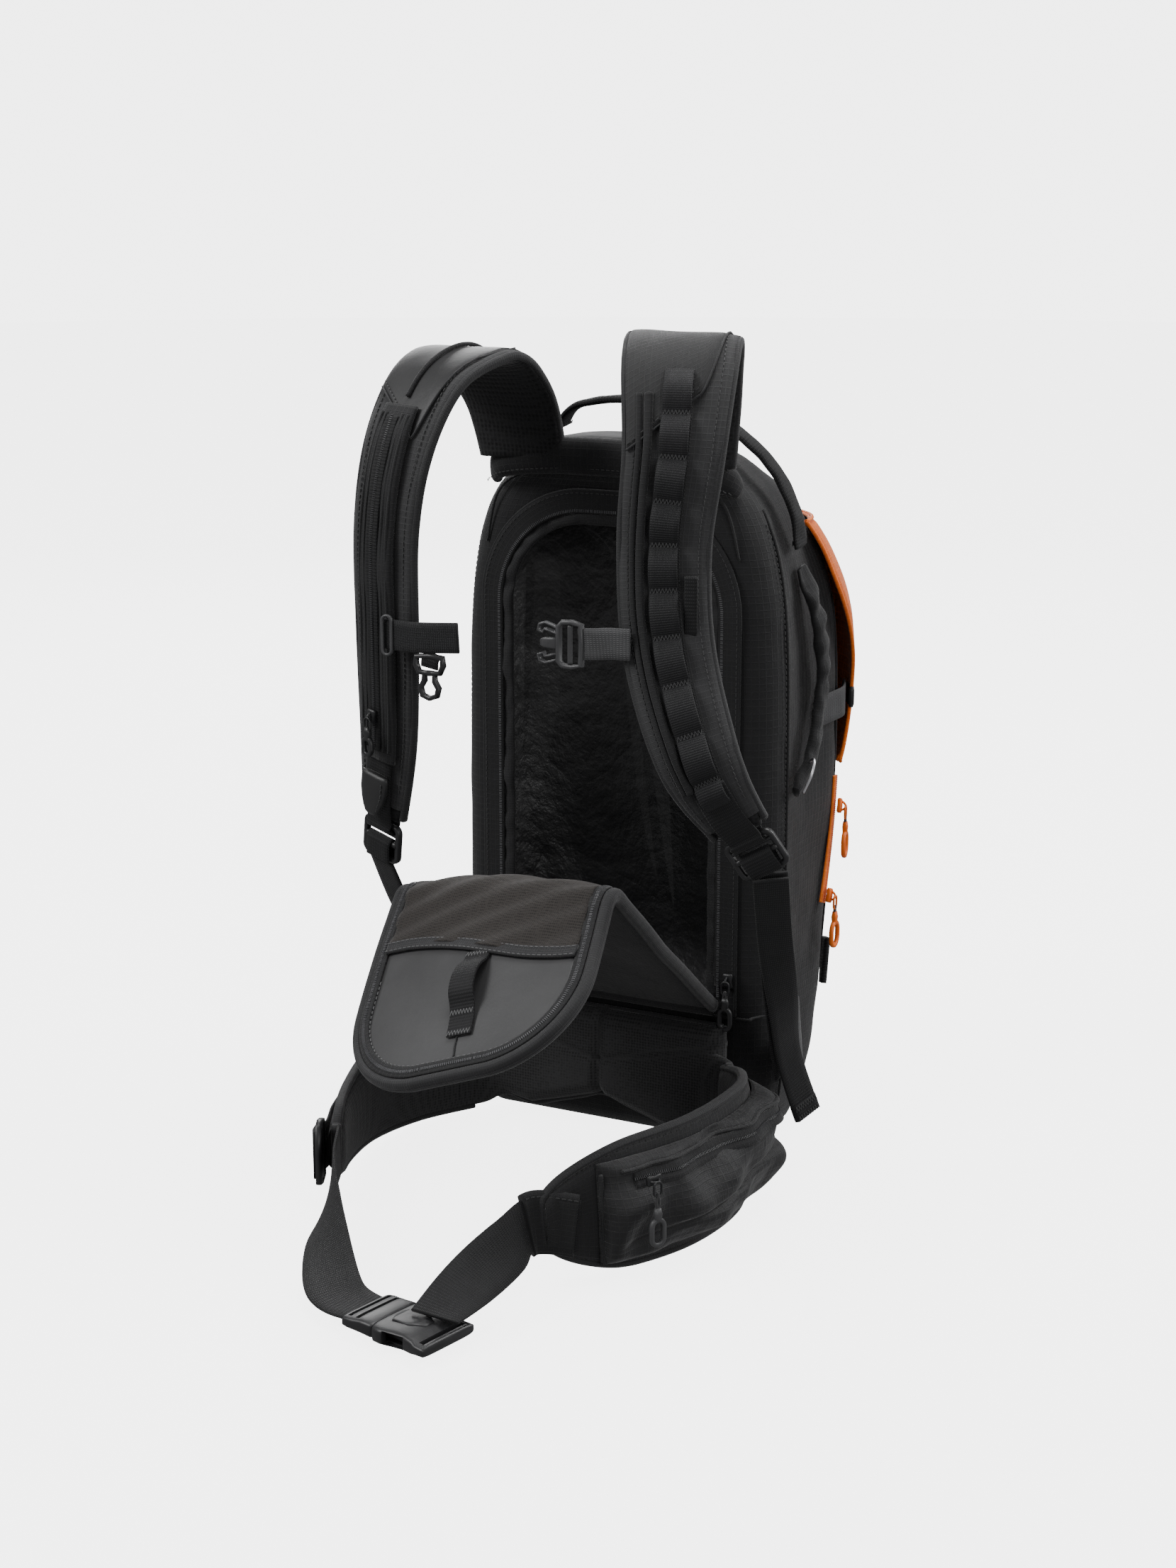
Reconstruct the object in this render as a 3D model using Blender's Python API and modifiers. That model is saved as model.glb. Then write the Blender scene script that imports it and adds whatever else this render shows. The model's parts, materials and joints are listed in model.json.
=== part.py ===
"""Avalanche airbag backpack, standing on its base with its back panel unzipped and folded forward.

Metres, +Z up. The side that faces the wearer looks along -Y, and X = 0 is the middle of the bag. The pieces
are laid out with the back at y = 0, and the last lines move them until the base's middle is the origin.
"""

import math

import bmesh
import bpy
from mathutils import Matrix, Vector

# The bag
GAP = 0.0005  # between pieces that are sewn or clipped together
SHELL_WALL = 0.004
BAG_LEVELS = (  # height, half width, nearest y, furthest y, radius at the back, radius at the outer side
    (0.000, 0.116, 0.012, 0.090, 0.020, 0.036),
    (0.010, 0.126, 0.003, 0.112, 0.024, 0.048),
    (0.040, 0.131, 0.000, 0.135, 0.028, 0.058),
    (0.100, 0.132, 0.000, 0.153, 0.030, 0.064),
    (0.200, 0.132, 0.000, 0.172, 0.030, 0.068),
    (0.300, 0.132, 0.000, 0.185, 0.030, 0.070),
    (0.380, 0.131, 0.000, 0.184, 0.030, 0.070),
    (0.430, 0.127, 0.000, 0.168, 0.030, 0.066),
    (0.470, 0.118, 0.000, 0.144, 0.030, 0.058),
    (0.500, 0.103, 0.001, 0.118, 0.028, 0.048),
    (0.520, 0.082, 0.005, 0.096, 0.024, 0.038),
    (0.531, 0.055, 0.014, 0.076, 0.018, 0.026),
)
CORNER_STEPS = 4
BASE_MIDDLE = 0.050  # how far the middle of the base lies behind the back's own plane

# The opening in the back and its zip
OPENING_HALF = 0.088
OPENING_LOW = 0.118
OPENING_HIGH = 0.476
OPENING_RADIUS = 0.066
ZIP_INNER = 0.0965
ZIP_WIDTH = 0.012
ZIP_THICKNESS = 0.003
ZIP_HIGH = 0.4855
ZIP_LOW = 0.128

# The back panel that closes the opening, in two parts with an oblique fold
PANEL_HALF = 0.095
PANEL_LENGTH = 0.372
PANEL_RADIUS = 0.070
PANEL_THICKNESS = 0.007
PANEL_HINGE = Vector((0.0, -0.0115, 0.110))
PANEL_OPEN = 50.0
FOLD_AT = 0.200
FOLD_SKEW = 15.0
FOLD_BENT = 75.0

# Shoulder straps: points down the middle of each, from its root over the shoulder to its end
STRAP_THICKNESS = 0.012
STRAP_LEFT = (
    (-0.066, -0.0075, 0.504), (-0.071, -0.022, 0.560), (-0.080, -0.058, 0.594), (-0.092, -0.098, 0.584),
    (-0.102, -0.126, 0.540), (-0.108, -0.137, 0.480), (-0.110, -0.135, 0.400), (-0.116, -0.126, 0.325),
    (-0.126, -0.117, 0.262),
)
STRAP_RIGHT = (
    (0.068, -0.0075, 0.504), (0.076, -0.026, 0.568), (0.090, -0.064, 0.610), (0.104, -0.102, 0.600),
    (0.112, -0.128, 0.545), (0.110, -0.138, 0.480), (0.120, -0.149, 0.410), (0.149, -0.161, 0.340),
    (0.173, -0.143, 0.292),
)
STRAP_WIDTHS = (0.066, 0.074, 0.080, 0.078, 0.068, 0.062, 0.060, 0.054, 0.040)
STRAP_TURN = 0.30  # how far each strap's face turns away from straight ahead, as a slope

# Webbing widths and thickness
WAIST_WEB = 0.038
SHOULDER_WEB = 0.025
CHEST_WEB = 0.022
CHAIN_WEB = 0.020
WEB = 0.0018

# Hip belt: plan points, middle height and width of each wing
WING_THICKNESS = 0.012
WING_RIGHT = (
    (0.111, -0.027, 0.040), (0.143, -0.070, 0.046), (0.157, -0.115, 0.048), (0.151, -0.180, 0.048),
    (0.124, -0.240, 0.047), (0.090, -0.280, 0.044),
)
WING_RIGHT_WIDTHS = (0.066, 0.084, 0.092, 0.091, 0.078, 0.044)
WING_LEFT = (
    (-0.1085, -0.020, 0.045), (-0.133, -0.064, 0.045), (-0.140, -0.120, 0.043), (-0.129, -0.175, 0.040),
    (-0.110, -0.220, 0.038),
)
WING_LEFT_WIDTHS = (0.080, 0.080, 0.070, 0.056, 0.044)
POCKET_THICKNESS = 0.020
BELT_HINGE = Vector((0.124, -0.026, 0.045))

# Side-release buckle, measured along its own axis
BUCKLE_AT = Vector((0.043, -0.392, 0.0095))
BUCKLE_TURN = -12.5
BUCKLE_WIDTH = 0.050
BUCKLE_THICKNESS = 0.013
BUCKLE_WALL = 0.0022
FEMALE_LENGTH = 0.046
MALE_LENGTH = 0.026
PRONG_LENGTH = 0.026
PRONG_WIDTH = 0.006

# Fan unit
FAN_RADIUS = 0.044
FAN_LENGTH = 0.050
FAN_AT = Vector((0.0, 0.130, 0.330))

BLACK = (0.012, 0.012, 0.013)
CHARCOAL = (0.035, 0.035, 0.037)
GREY = (0.080, 0.080, 0.083)
ORANGE = (0.80, 0.20, 0.015)


def clear_scene():
    for obj in list(bpy.data.objects):
        bpy.data.objects.remove(obj, do_unlink=True)


def new_collection(name):
    collection = bpy.data.collections.new(name)
    bpy.context.scene.collection.children.link(collection)
    return collection


def paint(name, colour, roughness=0.7, metallic=0.0):
    material = bpy.data.materials.new(name)
    material.use_nodes = True
    shader = material.node_tree.nodes["Principled BSDF"]
    shader.inputs["Base Color"].default_value = (*colour, 1.0)
    shader.inputs["Roughness"].default_value = roughness
    shader.inputs["Metallic"].default_value = metallic
    return material


clear_scene()
BAG = new_collection("avalanche_airbag_backpack")
CUTTERS = new_collection("cutters")


# Building blocks


def add(name, data, material, origin=(0, 0, 0), parent=None):
    """Links data made in world coordinates as an object whose origin is at the given point."""
    data.transform(Matrix.Translation(-Vector(origin)))
    data.materials.append(material)
    obj = bpy.data.objects.new(name, data)
    BAG.objects.link(obj)
    obj.location = origin
    if parent:
        obj.parent = parent
        obj.location = Vector(origin) - parent.location
    return obj


def axis_empty(name, at):
    empty = bpy.data.objects.new(name, None)
    BAG.objects.link(empty)
    empty.location = at
    return empty


def mesh_from(bm, name):
    bm.normal_update()
    bmesh.ops.recalc_face_normals(bm, faces=bm.faces[:])
    mesh = bpy.data.meshes.new(name)
    bm.to_mesh(mesh)
    bm.free()
    return mesh


def bevel(obj, width, segments=1):
    modifier = obj.modifiers.new("round", "BEVEL")
    modifier.width = width
    modifier.segments = segments
    modifier.limit_method = "ANGLE"
    return obj


def box(name, size, centre, material, turn=Matrix(), rounding=0.0, parent=None, origin=None):
    bm = bmesh.new()
    bmesh.ops.create_cube(bm, size=1.0, matrix=Matrix.Diagonal((*size, 1.0)))
    bm.transform(Matrix.Translation(centre) @ turn.to_4x4())
    obj = add(name, mesh_from(bm, name), material, origin or centre, parent)
    return bevel(obj, rounding) if rounding else obj


def cylinder(name, radius, length, centre, material, turn=Matrix(), sides=24, parent=None):
    bm = bmesh.new()
    bmesh.ops.create_cone(
        bm, cap_ends=True, segments=sides, radius1=radius, radius2=radius, depth=length,
        matrix=Matrix.Translation(centre) @ turn.to_4x4(),
    )
    return add(name, mesh_from(bm, name), material, centre, parent)


def cut(obj, cutter, operation="DIFFERENCE"):
    BAG.objects.unlink(cutter)
    CUTTERS.objects.link(cutter)
    cutter.hide_render = True
    cutter.display_type = "WIRE"
    modifier = obj.modifiers.new(operation.lower(), "BOOLEAN")
    modifier.operation = operation
    modifier.solver = "EXACT"
    modifier.object = cutter


def spline_value(values, t):
    """A smooth curve through the values, at t from 0 to 1."""
    last = len(values) - 1
    place = min(max(t, 0.0), 1.0) * last
    i = min(int(place), last - 1)
    u = place - i
    a, b = values[max(i - 1, 0)], values[i]
    c, d = values[i + 1], values[min(i + 2, last)]
    return 0.5 * (
        2 * b + (c - a) * u + (2 * a - 5 * b + 4 * c - d) * u**2 + (3 * b - a - 3 * c + d) * u**3
    )


class Route:
    """A path with a width direction and a width at each place, for straps and webbing."""

    def __init__(self, points, sides, widths):
        self.points = [Vector(p) for p in points]
        self.sides = [Vector(s) for s in sides]
        self.widths = widths if isinstance(widths, tuple) else (widths,) * len(points)

    def frame(self, t):
        """The point, width direction and outward direction at t."""
        point = spline_value(self.points, t)
        ahead = spline_value(self.points, t + 0.01)
        behind = spline_value(self.points, t - 0.01)
        along = (ahead - behind).normalized()
        side = spline_value(self.sides, t)
        side = (side - side.dot(along) * along).normalized()
        return point, side, along.cross(side), along

    def width(self, t):
        return spline_value(self.widths, t)


def strip(name, route, thickness, material, span=(0, 1), steps=16, lift=0.0, width=None, shift=0.0,
          parent=None, origin=(0, 0, 0)):
    """A flat strip along part of a route: lift moves it outward and shift moves it sideways."""
    bm = bmesh.new()
    rows = []
    for i in range(steps + 1):
        t = span[0] + (span[1] - span[0]) * i / steps
        point, side, out, _ = route.frame(t)
        half = (width or route.width(t)) / 2
        middle = point + out * lift + side * shift
        rows.append([bm.verts.new(middle + side * k * half) for k in (-1, 0, 1)])
    for row, after in zip(rows, rows[1:]):
        for k in range(2):
            bm.faces.new((row[k], row[k + 1], after[k + 1], after[k]))
    obj = add(name, mesh_from(bm, name), material, origin, parent)
    modifier = obj.modifiers.new("thickness", "SOLIDIFY")
    modifier.thickness = thickness
    modifier.offset = 0
    modifier.use_even_offset = True
    return obj


def tube(name, points, radius, material, steps=20, sides=2, parent=None, origin=(0, 0, 0)):
    values = [Vector(p) for p in points]
    curve = bpy.data.curves.new(name, "CURVE")
    curve.dimensions = "3D"
    spline = curve.splines.new("POLY")
    spline.points.add(steps)
    for i in range(steps + 1):
        spline.points[i].co = (*spline_value(values, i / steps), 1.0)
    curve.bevel_depth = radius
    curve.bevel_resolution = sides
    curve.use_fill_caps = True
    return add(name, curve, material, origin, parent)


def plate(name, outlines, thickness, material, pose, parent=None):
    """A flat plate from 2D outlines, the later ones being holes; pose carries it from its own XY plane."""
    curve = bpy.data.curves.new(name, "CURVE")
    curve.dimensions = "2D"
    curve.fill_mode = "BOTH"
    curve.extrude = thickness / 2
    for outline in outlines:
        spline = curve.splines.new("POLY")
        spline.points.add(len(outline) - 1)
        for point, (x, y) in zip(spline.points, outline):
            point.co = (x, y, 0.0, 1.0)
        spline.use_cyclic_u = True
    curve.materials.append(material)
    obj = bpy.data.objects.new(name, curve)
    BAG.objects.link(obj)
    if parent:
        obj.parent = parent
    obj.matrix_local = pose
    return obj


def arc(centre, radius, start, end, steps):
    """Points of an arc, by angles in degrees."""
    return [
        (centre[0] + radius * math.cos(math.radians(a)), centre[1] + radius * math.sin(math.radians(a)))
        for a in (start + (end - start) * i / steps for i in range(steps + 1))
    ]


def arch(half, low, high, radius, steps=8):
    """An outline with a square foot and two round corners at its top."""
    return (
        [(half, low)]
        + arc((half - radius, high - radius), radius, 0, 90, steps)
        + arc((radius - half, high - radius), radius, 90, 180, steps)
        + [(-half, low)]
    )


def stadium(length, width, steps=6):
    """A rounded slot shape that hangs down from its own origin, along -Y."""
    radius = width / 2
    return arc((0, -radius), radius, 0, 180, steps) + arc((0, radius - length), radius, 180, 360, steps)


UPRIGHT = Matrix.Rotation(math.radians(90), 4, "X")  # carries an XY outline to the XZ plane


def bag_ring(level, grow=0.0):
    """One level of the bag: a rectangle with different corner radii at its back and its outer side."""
    height, half, near, far, back_radius, outer_radius = level
    half, near, far = half + grow, near - grow, far + grow
    back, outer = back_radius + grow, outer_radius + grow
    corners = (
        ((half - back, near + back), back, -90),
        ((half - outer, far - outer), outer, 0),
        ((outer - half, far - outer), outer, 90),
        ((back - half, near + back), back, 180),
    )
    return [
        Vector((x, y, height))
        for centre, radius, start in corners
        for x, y in arc(centre, radius, start, start + 90, CORNER_STEPS)
    ]


def bag_level(height):
    """The bag's measurements at any height, between its levels."""
    for low, high in zip(BAG_LEVELS, BAG_LEVELS[1:]):
        if height <= high[0]:
            part = (height - low[0]) / (high[0] - low[0])
            return tuple(a + (b - a) * part for a, b in zip(low, high))
    return BAG_LEVELS[-1]


def bag_side(y, height, out=0.0, sign=1):
    """The point on the bag's side at this depth and height, and out metres clear of it."""
    _, half, _, far, _, radius = bag_level(height)
    over = max(y - (far - radius), 0.0)
    over = min(over, radius * 0.999)
    drop = radius - math.sqrt(radius**2 - over**2)
    normal = Vector((math.sqrt(radius**2 - over**2), over, 0)) / radius
    point = Vector((half - drop, y, height)) + normal * out
    return Vector((point.x * sign, point.y, point.z))


def side_tangent(y, height, slope=0.0):
    """The direction round the bag's side at this place, rising by the slope."""
    _, _, _, far, _, radius = bag_level(height)
    over = min(max(y - (far - radius), 0.0), radius * 0.999)
    return Vector((-over, math.sqrt(radius**2 - over**2), slope * radius)) / radius


# The bag itself


def build_bag():
    shell_paint = paint("shell_fabric", BLACK, 0.75)
    bm = bmesh.new()
    rings = [[bm.verts.new(p) for p in bag_ring(level)] for level in BAG_LEVELS]
    count = len(rings[0])
    for low, high in zip(rings, rings[1:]):
        for i in range(count):
            j = (i + 1) % count
            bm.faces.new((low[i], low[j], high[j], high[i]))
    bm.faces.new(rings[0])
    bm.faces.new(rings[-1])
    shell = add("main_shell", mesh_from(bm, "main_shell"), shell_paint)
    wall = shell.modifiers.new("wall", "SOLIDIFY")
    wall.thickness = SHELL_WALL
    wall.offset = -1
    outline = arch(OPENING_HALF, OPENING_LOW, OPENING_HIGH, OPENING_RADIUS)
    bm = bmesh.new()
    foot = [bm.verts.new((x, -0.02, z)) for x, z in outline]
    face = bm.faces.new(foot)
    moved = bmesh.ops.extrude_face_region(bm, geom=[face])
    far = [v for v in moved["geom"] if isinstance(v, bmesh.types.BMVert)]
    bmesh.ops.translate(bm, verts=far, vec=(0, 0.05, 0))
    cut(shell, add("opening_cutter", mesh_from(bm, "opening_cutter"), shell_paint))


def build_opening_zip():
    zip_paint = paint("zip_tape", BLACK, 0.6)
    outer = arch(ZIP_INNER + ZIP_WIDTH, ZIP_LOW, ZIP_HIGH + ZIP_WIDTH, OPENING_RADIUS + 0.02)
    inner = arch(ZIP_INNER, ZIP_LOW, ZIP_HIGH, OPENING_RADIUS + 0.008)
    band = outer + inner[::-1]
    pose = Matrix.Translation((0, -GAP - ZIP_THICKNESS / 2, 0)) @ UPRIGHT
    plate("opening_zip", [band], ZIP_THICKNESS, zip_paint, pose)


def build_outer_panel():
    """The orange panel over the bag's outer side, and the orange zip down its right edge."""
    orange = paint("orange_fabric", ORANGE, 0.6)
    bm = bmesh.new()
    rows = []
    for height in (0.275, 0.300, 0.330, 0.360, 0.380, 0.405, 0.430, 0.450, 0.470, 0.485):
        ring = bag_ring(bag_level(height), 0.0027)
        rows.append([bm.verts.new(p) for p in ring[CORNER_STEPS + 2:3 * CORNER_STEPS + 2]])
    for low, high in zip(rows, rows[1:]):
        for i in range(len(low) - 1):
            bm.faces.new((low[i], low[i + 1], high[i + 1], high[i]))
    panel = add("outer_panel", mesh_from(bm, "outer_panel"), orange)
    skin = panel.modifiers.new("skin", "SOLIDIFY")
    skin.thickness = 0.003
    skin.offset = 0

    places = ((0.126, 0.268), (0.1215, 0.235), (0.112, 0.205), (0.101, 0.172))
    side = [bag_side(y, z, 0.0028) for y, z in places]
    hints = [side_tangent(y, z) for y, z in places]
    strip("side_zip", Route(side, hints, 0.010), 0.0025, paint("orange_zip", ORANGE, 0.5), steps=8)


def slider_and_pull(prefix, at, along, out, pull_length, colour, parent=None, pull_width=0.009):
    """A zip slider on its own track and the pull that hangs from it."""
    hard = paint(prefix + "_paint", colour, 0.4)
    across = out.cross(along).normalized()
    turn = Matrix((across, out, along)).transposed()
    box(prefix + "_slider", (0.008, 0.004, 0.011), at, hard, turn, 0.0008, parent)
    hang = at + out * 0.0048
    loops = [stadium(pull_length, pull_width)]
    loops.append([(x, y - 0.0026) for x, y in stadium(pull_length - 0.0052, pull_width - 0.0052)])
    level_out = Vector((out.x, out.y, 0)).normalized()
    level_across = Vector((-level_out.y, level_out.x, 0))
    pose = Matrix((level_across, Vector((0, 0, 1)), level_out)).transposed().to_4x4()
    base = parent.location if parent else Vector((0, 0, 0))
    plate(prefix + "_pull", loops, 0.0022, hard, Matrix.Translation(hang - base) @ pose, parent)


def build_zip_sliders():
    up = Vector((0, 0, 1))
    back = Vector((0, -1, 0))
    main_at = Vector((ZIP_INNER + ZIP_WIDTH / 2, -GAP - ZIP_THICKNESS - 0.0025, 0.135))
    slider_and_pull("main_zip", main_at, up, back, 0.034, BLACK)
    for prefix, y, z in (("side_zip_low", 0.103, 0.178), ("side_zip_high", 0.1229, 0.245)):
        surface = bag_side(y, z)
        out = (bag_side(y, z, 0.01) - surface).normalized()
        along = (bag_side(y + 0.003, z + 0.008) - surface).normalized()
        out = (out - out.dot(along) * along).normalized()
        slider_and_pull(prefix, surface + out * 0.0074, along, out, 0.040, ORANGE, pull_width=0.013)


def build_side():
    """The band, hook, tube and keeper on the bag's right side, and the haul handle over its top."""
    grey = paint("grey_webbing", GREY, 0.8)
    black = paint("hard_black", BLACK, 0.4)
    stops = ((0.088, 0.0045), (0.108, 0.0055), (0.128, 0.0065), (0.152, 0.007))
    band = [bag_side(y, 0.327, out) for y, out in stops]
    strip("side_band", Route(band, [(0, 0, 1)] * 4, 0.024), 0.002, grey, steps=8)
    hook = [bag_side(y, 0.327, 0.0115) for y in (0.140, 0.146, 0.152, 0.157)]
    strip("side_band_hook", Route(hook, [(0, 0, 1)] * 4, 0.016), 0.004, black, steps=4)
    places = ((0.128, 0.135), (0.124, 0.118), (0.119, 0.100))
    keeper = [bag_side(y, z, 0.0045) for y, z in places]
    keeper_route = Route(keeper, [side_tangent(y, z) for y, z in places], 0.022)
    strip("webbing_keeper", keeper_route, 0.004, black, steps=4)

    tube_route = [bag_side(y, z, 0.0115) for y, z in (
        (0.062, 0.440), (0.070, 0.410), (0.076, 0.370), (0.073, 0.335), (0.060, 0.300), (0.036, 0.275),
    )]
    tube("side_tube", tube_route, 0.0085, paint("tube_fabric", CHARCOAL, 0.8), steps=16)

    handle = (
        (-0.060, 0.040, 0.5380), (-0.046, 0.037, 0.553), (-0.010, 0.036, 0.560), (0.035, 0.037, 0.558),
        (0.078, 0.043, 0.542), (0.109, 0.050, 0.514), (0.124, 0.056, 0.482), (0.1275, 0.060, 0.456),
    )
    hints = [(0, 1, 0)] * len(handle)
    strip("haul_handle", Route(handle, hints, 0.020), 0.005, paint("handle_webbing", BLACK, 0.8),
          origin=(0.038, 0.050, 0.496))


# The back panel


def fold_outline(below):
    """The panel's outline in its own plane, on one side of the oblique fold."""
    slope = math.tan(math.radians(FOLD_SKEW))
    full = arch(PANEL_HALF, 0.002, PANEL_LENGTH, PANEL_RADIUS)
    left, right = (FOLD_AT + slope * x for x in (-PANEL_HALF, PANEL_HALF))
    if below:
        top = [(PANEL_HALF, right - GAP), (-PANEL_HALF, left - GAP)]
        return [(PANEL_HALF, 0.002), *top, (-PANEL_HALF, 0.002)]
    return [(PANEL_HALF, right + GAP)] + full[1:-1] + [(-PANEL_HALF, left + GAP)]


def build_back_panel():
    lower_paint = paint("panel_fabric", CHARCOAL, 0.7)
    upper_paint = paint("panel_laminate", GREY, 0.45)
    hinge = axis_empty("panel_hinge", PANEL_HINGE)
    hinge.rotation_euler = (math.radians(PANEL_OPEN), 0, 0)
    fold = axis_empty("panel_fold", (0, 0, FOLD_AT))
    fold.parent = hinge
    skew = math.radians(FOLD_SKEW)
    fold_axis = Vector((math.cos(skew), 0, math.sin(skew)))
    bent = Matrix.Rotation(math.radians(FOLD_BENT), 4, fold_axis)
    fold.matrix_local = Matrix.Translation((0, 0, FOLD_AT)) @ bent
    middle = Matrix.Translation((0, PANEL_THICKNESS / 2, 0)) @ UPRIGHT
    plate("back_panel_lower", [fold_outline(True)], PANEL_THICKNESS, lower_paint, middle, hinge)
    drop = Matrix.Translation((0, 0, -FOLD_AT))
    plate("back_panel_upper", [fold_outline(False)], PANEL_THICKNESS, upper_paint, drop @ middle, fold)

    # The mesh pocket covers the stretch next to the fold, and its free edge runs across at a slant.
    half = PANEL_HALF - 0.014
    slope = math.tan(skew)
    pocket = [
        (half, FOLD_AT + slope * half + 0.004),
        (half, FOLD_AT + 0.086),
        (0.0, FOLD_AT + 0.066),
        (-half, FOLD_AT + 0.052),
        (-half, FOLD_AT - slope * half + 0.004),
    ]
    lift = Matrix.Translation((0, PANEL_THICKNESS + GAP + 0.001, 0)) @ UPRIGHT
    plate("mesh_pocket", [pocket], 0.002, paint("pocket_mesh", CHARCOAL, 0.9), drop @ lift, fold)

    loop_paint = paint("loop_webbing", BLACK, 0.8)
    lift = PANEL_THICKNESS + GAP + 0.002
    points = [
        (0.004, lift, 0.142), (0.004, lift, 0.128), (0.004, lift + 0.0075, 0.118),
        (0.004, lift + 0.0075, 0.098), (0.004, lift, 0.088), (0.004, lift, 0.078),
    ]
    strip("panel_loop", Route(points, [(1, 0, 0)] * 6, CHAIN_WEB), 0.002, loop_paint, parent=None)
    loop = bpy.data.objects["panel_loop"]
    loop.parent = fold
    loop.location = (0, 0, 0)


# Shoulder straps


def strap_route(points, sign):
    turned = Vector((1, STRAP_TURN * sign, 0)).normalized()
    sides = [Vector((1, 0, 0))] * 3 + [turned] * (len(points) - 3)
    return Route(points, sides, STRAP_WIDTHS)


def ladder_lock(name, centre, side, along, parent=None):
    """A slotted plastic frame that grips a webbing: along points down the webbing."""
    plastic = paint(name + "_plastic", BLACK, 0.35)
    out = side.cross(along).normalized()
    pose = Matrix((side, along, out)).transposed().to_4x4()
    half_wide, half_long = SHOULDER_WEB / 2 + 0.006, 0.015
    corners = ((-1, -1), (1, -1), (1, 1), (-1, 1))
    frame = [(half_wide * x, half_long * y) for x, y in corners]
    holes = []
    for y in (-0.0075, 0.0075):
        inner = SHOULDER_WEB / 2 + 0.0015
        holes.append([(-inner, y - 0.004), (inner, y - 0.004), (inner, y + 0.004), (-inner, y + 0.004)])
    origin = centre - along * half_long
    plate(name, [frame] + holes, 0.005, plastic, Matrix.Translation(centre) @ pose, parent)
    return origin


def build_straps():
    left, right = strap_route(STRAP_LEFT, -1), strap_route(STRAP_RIGHT, 1)
    fabric = paint("strap_fabric", CHARCOAL, 0.75)
    strip("shoulder_strap_left", left, STRAP_THICKNESS, fabric, steps=24)
    strip("shoulder_strap_right", right, STRAP_THICKNESS, fabric, steps=24)
    face = STRAP_THICKNESS / 2 + GAP
    strip("strap_daisy_chain", right, 0.003, paint("chain_webbing", BLACK, 0.8), (0.40, 0.93), 20,
          face + 0.0015, CHAIN_WEB)
    strip("strap_zip_pocket", left, 0.008, paint("pocket_fabric", BLACK, 0.75), (0.45, 0.90), 16,
          face + 0.004, 0.034)
    return left, right


def build_chest_strap(left, right):
    """Both halves of the chest strap, each on an upright hinge at its shoulder strap."""
    grey, black = paint("chest_webbing_grey", GREY, 0.8), paint("chest_webbing", BLACK, 0.8)
    plastic = paint("chest_plastic", (0.06, 0.06, 0.062), 0.4)
    height = 0.418
    root = Vector((0.094, -0.1652, height))
    hinge = axis_empty("chest_hinge_right", root)
    steps = ((0, 0, 0), (-0.010, -0.002, 0), (-0.020, -0.003, -0.001), (-0.030, -0.003, -0.002))
    points = [root + Vector(step) for step in steps]
    strip("chest_strap_right", Route(points, [(0, 0, 1)] * 4, CHEST_WEB), WEB, grey, steps=6, parent=hinge,
          origin=root)
    middle = points[-1] + Vector((-0.0175, 0, -0.001))
    outline = [
        (-0.017, -0.012), (-0.005, -0.016), (0.004, -0.013), (0.016, -0.015),
        (0.016, 0.015), (0.004, 0.013), (-0.005, 0.016), (-0.017, 0.012),
        (-0.015, 0.006), (-0.004, 0.005), (-0.004, -0.005), (-0.015, -0.006),
    ]
    plate("chest_buckle_right", [outline], 0.006, plastic, Matrix.Translation(middle - root) @ UPRIGHT, hinge)

    root = Vector((-0.094, -0.1600, 0.408))
    hinge = axis_empty("chest_hinge_left", root)
    steps = ((0, 0, 0), (0.018, -0.003, 0), (0.036, -0.003, 0.001), (0.056, 0, 0.002))
    points = [root + Vector(step) for step in steps]
    strip("chest_strap_left", Route(points, [(0, 0, 1)] * 4, CHEST_WEB), WEB, black, steps=8, parent=hinge,
          origin=root)
    middle = root + Vector((0.034, -0.0025, -0.0245))
    outline = [
        (-0.009, 0.011), (0.009, 0.011), (0.009, 0.003), (0.004, -0.001), (0.005, -0.009), (0.009, -0.013),
        (0.003, -0.016), (-0.004, -0.014), (-0.003, -0.006), (-0.009, 0.001),
    ]
    plate("chest_hook_left", [outline], 0.005, plastic, Matrix.Translation(middle - root) @ UPRIGHT, hinge)


def build_shoulder_webbing(left, right):
    webbing, fabric = paint("shoulder_webbing", BLACK, 0.8), paint("corner_fabric", GREY, 0.7)
    for name, sign, strap, hold in (("left", -1, left, -0.142), ("right", 1, right, 0.150)):
        end, side, out, along = strap.frame(1.0)
        centre = end + along * 0.0185 + out * 0.002
        ladder_lock("ladder_lock_" + name, centre, side, along)
        low = Vector((hold, -0.006, 0.072))
        top = centre + along * 0.022
        points = [top, top.lerp(low, 0.33), top.lerp(low, 0.67), low]
        sides = [side, side, (0.5, sign, 0), (0.1, sign, 0)]
        web = Route(points, sides, SHOULDER_WEB)
        strip("lower_webbing_" + name, web, WEB, webbing, steps=10)
        corner = [bag_side(y, z, out, sign) for y, z, out in ((0.056, 0.084, 0.004), (0.036, 0.078, 0.0055))]
        corner += [low + Vector((-0.004 * sign, 0.0165, -0.003))]
        corner_route = Route(corner, [(0, 0.3, 1)] * 3, (0.060, 0.046, 0.026))
        strip("corner_tab_" + name, corner_route, 0.003, fabric, steps=6)
    # The right side's free tail lies over the webbing and hangs a little past its foot.
    points, sides = [], []
    for t in (0.0, 0.3, 0.6, 0.88):
        point, side, out, _ = web.frame(t)
        points.append(point + out * 0.0055)
        sides.append(side)
    points.append((0.1680, -0.004, 0.040))
    sides.append(sides[-1])
    strip("webbing_tail_right", Route(points, sides, SHOULDER_WEB), WEB * 1.6, webbing, steps=10)


# Hip belt


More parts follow.
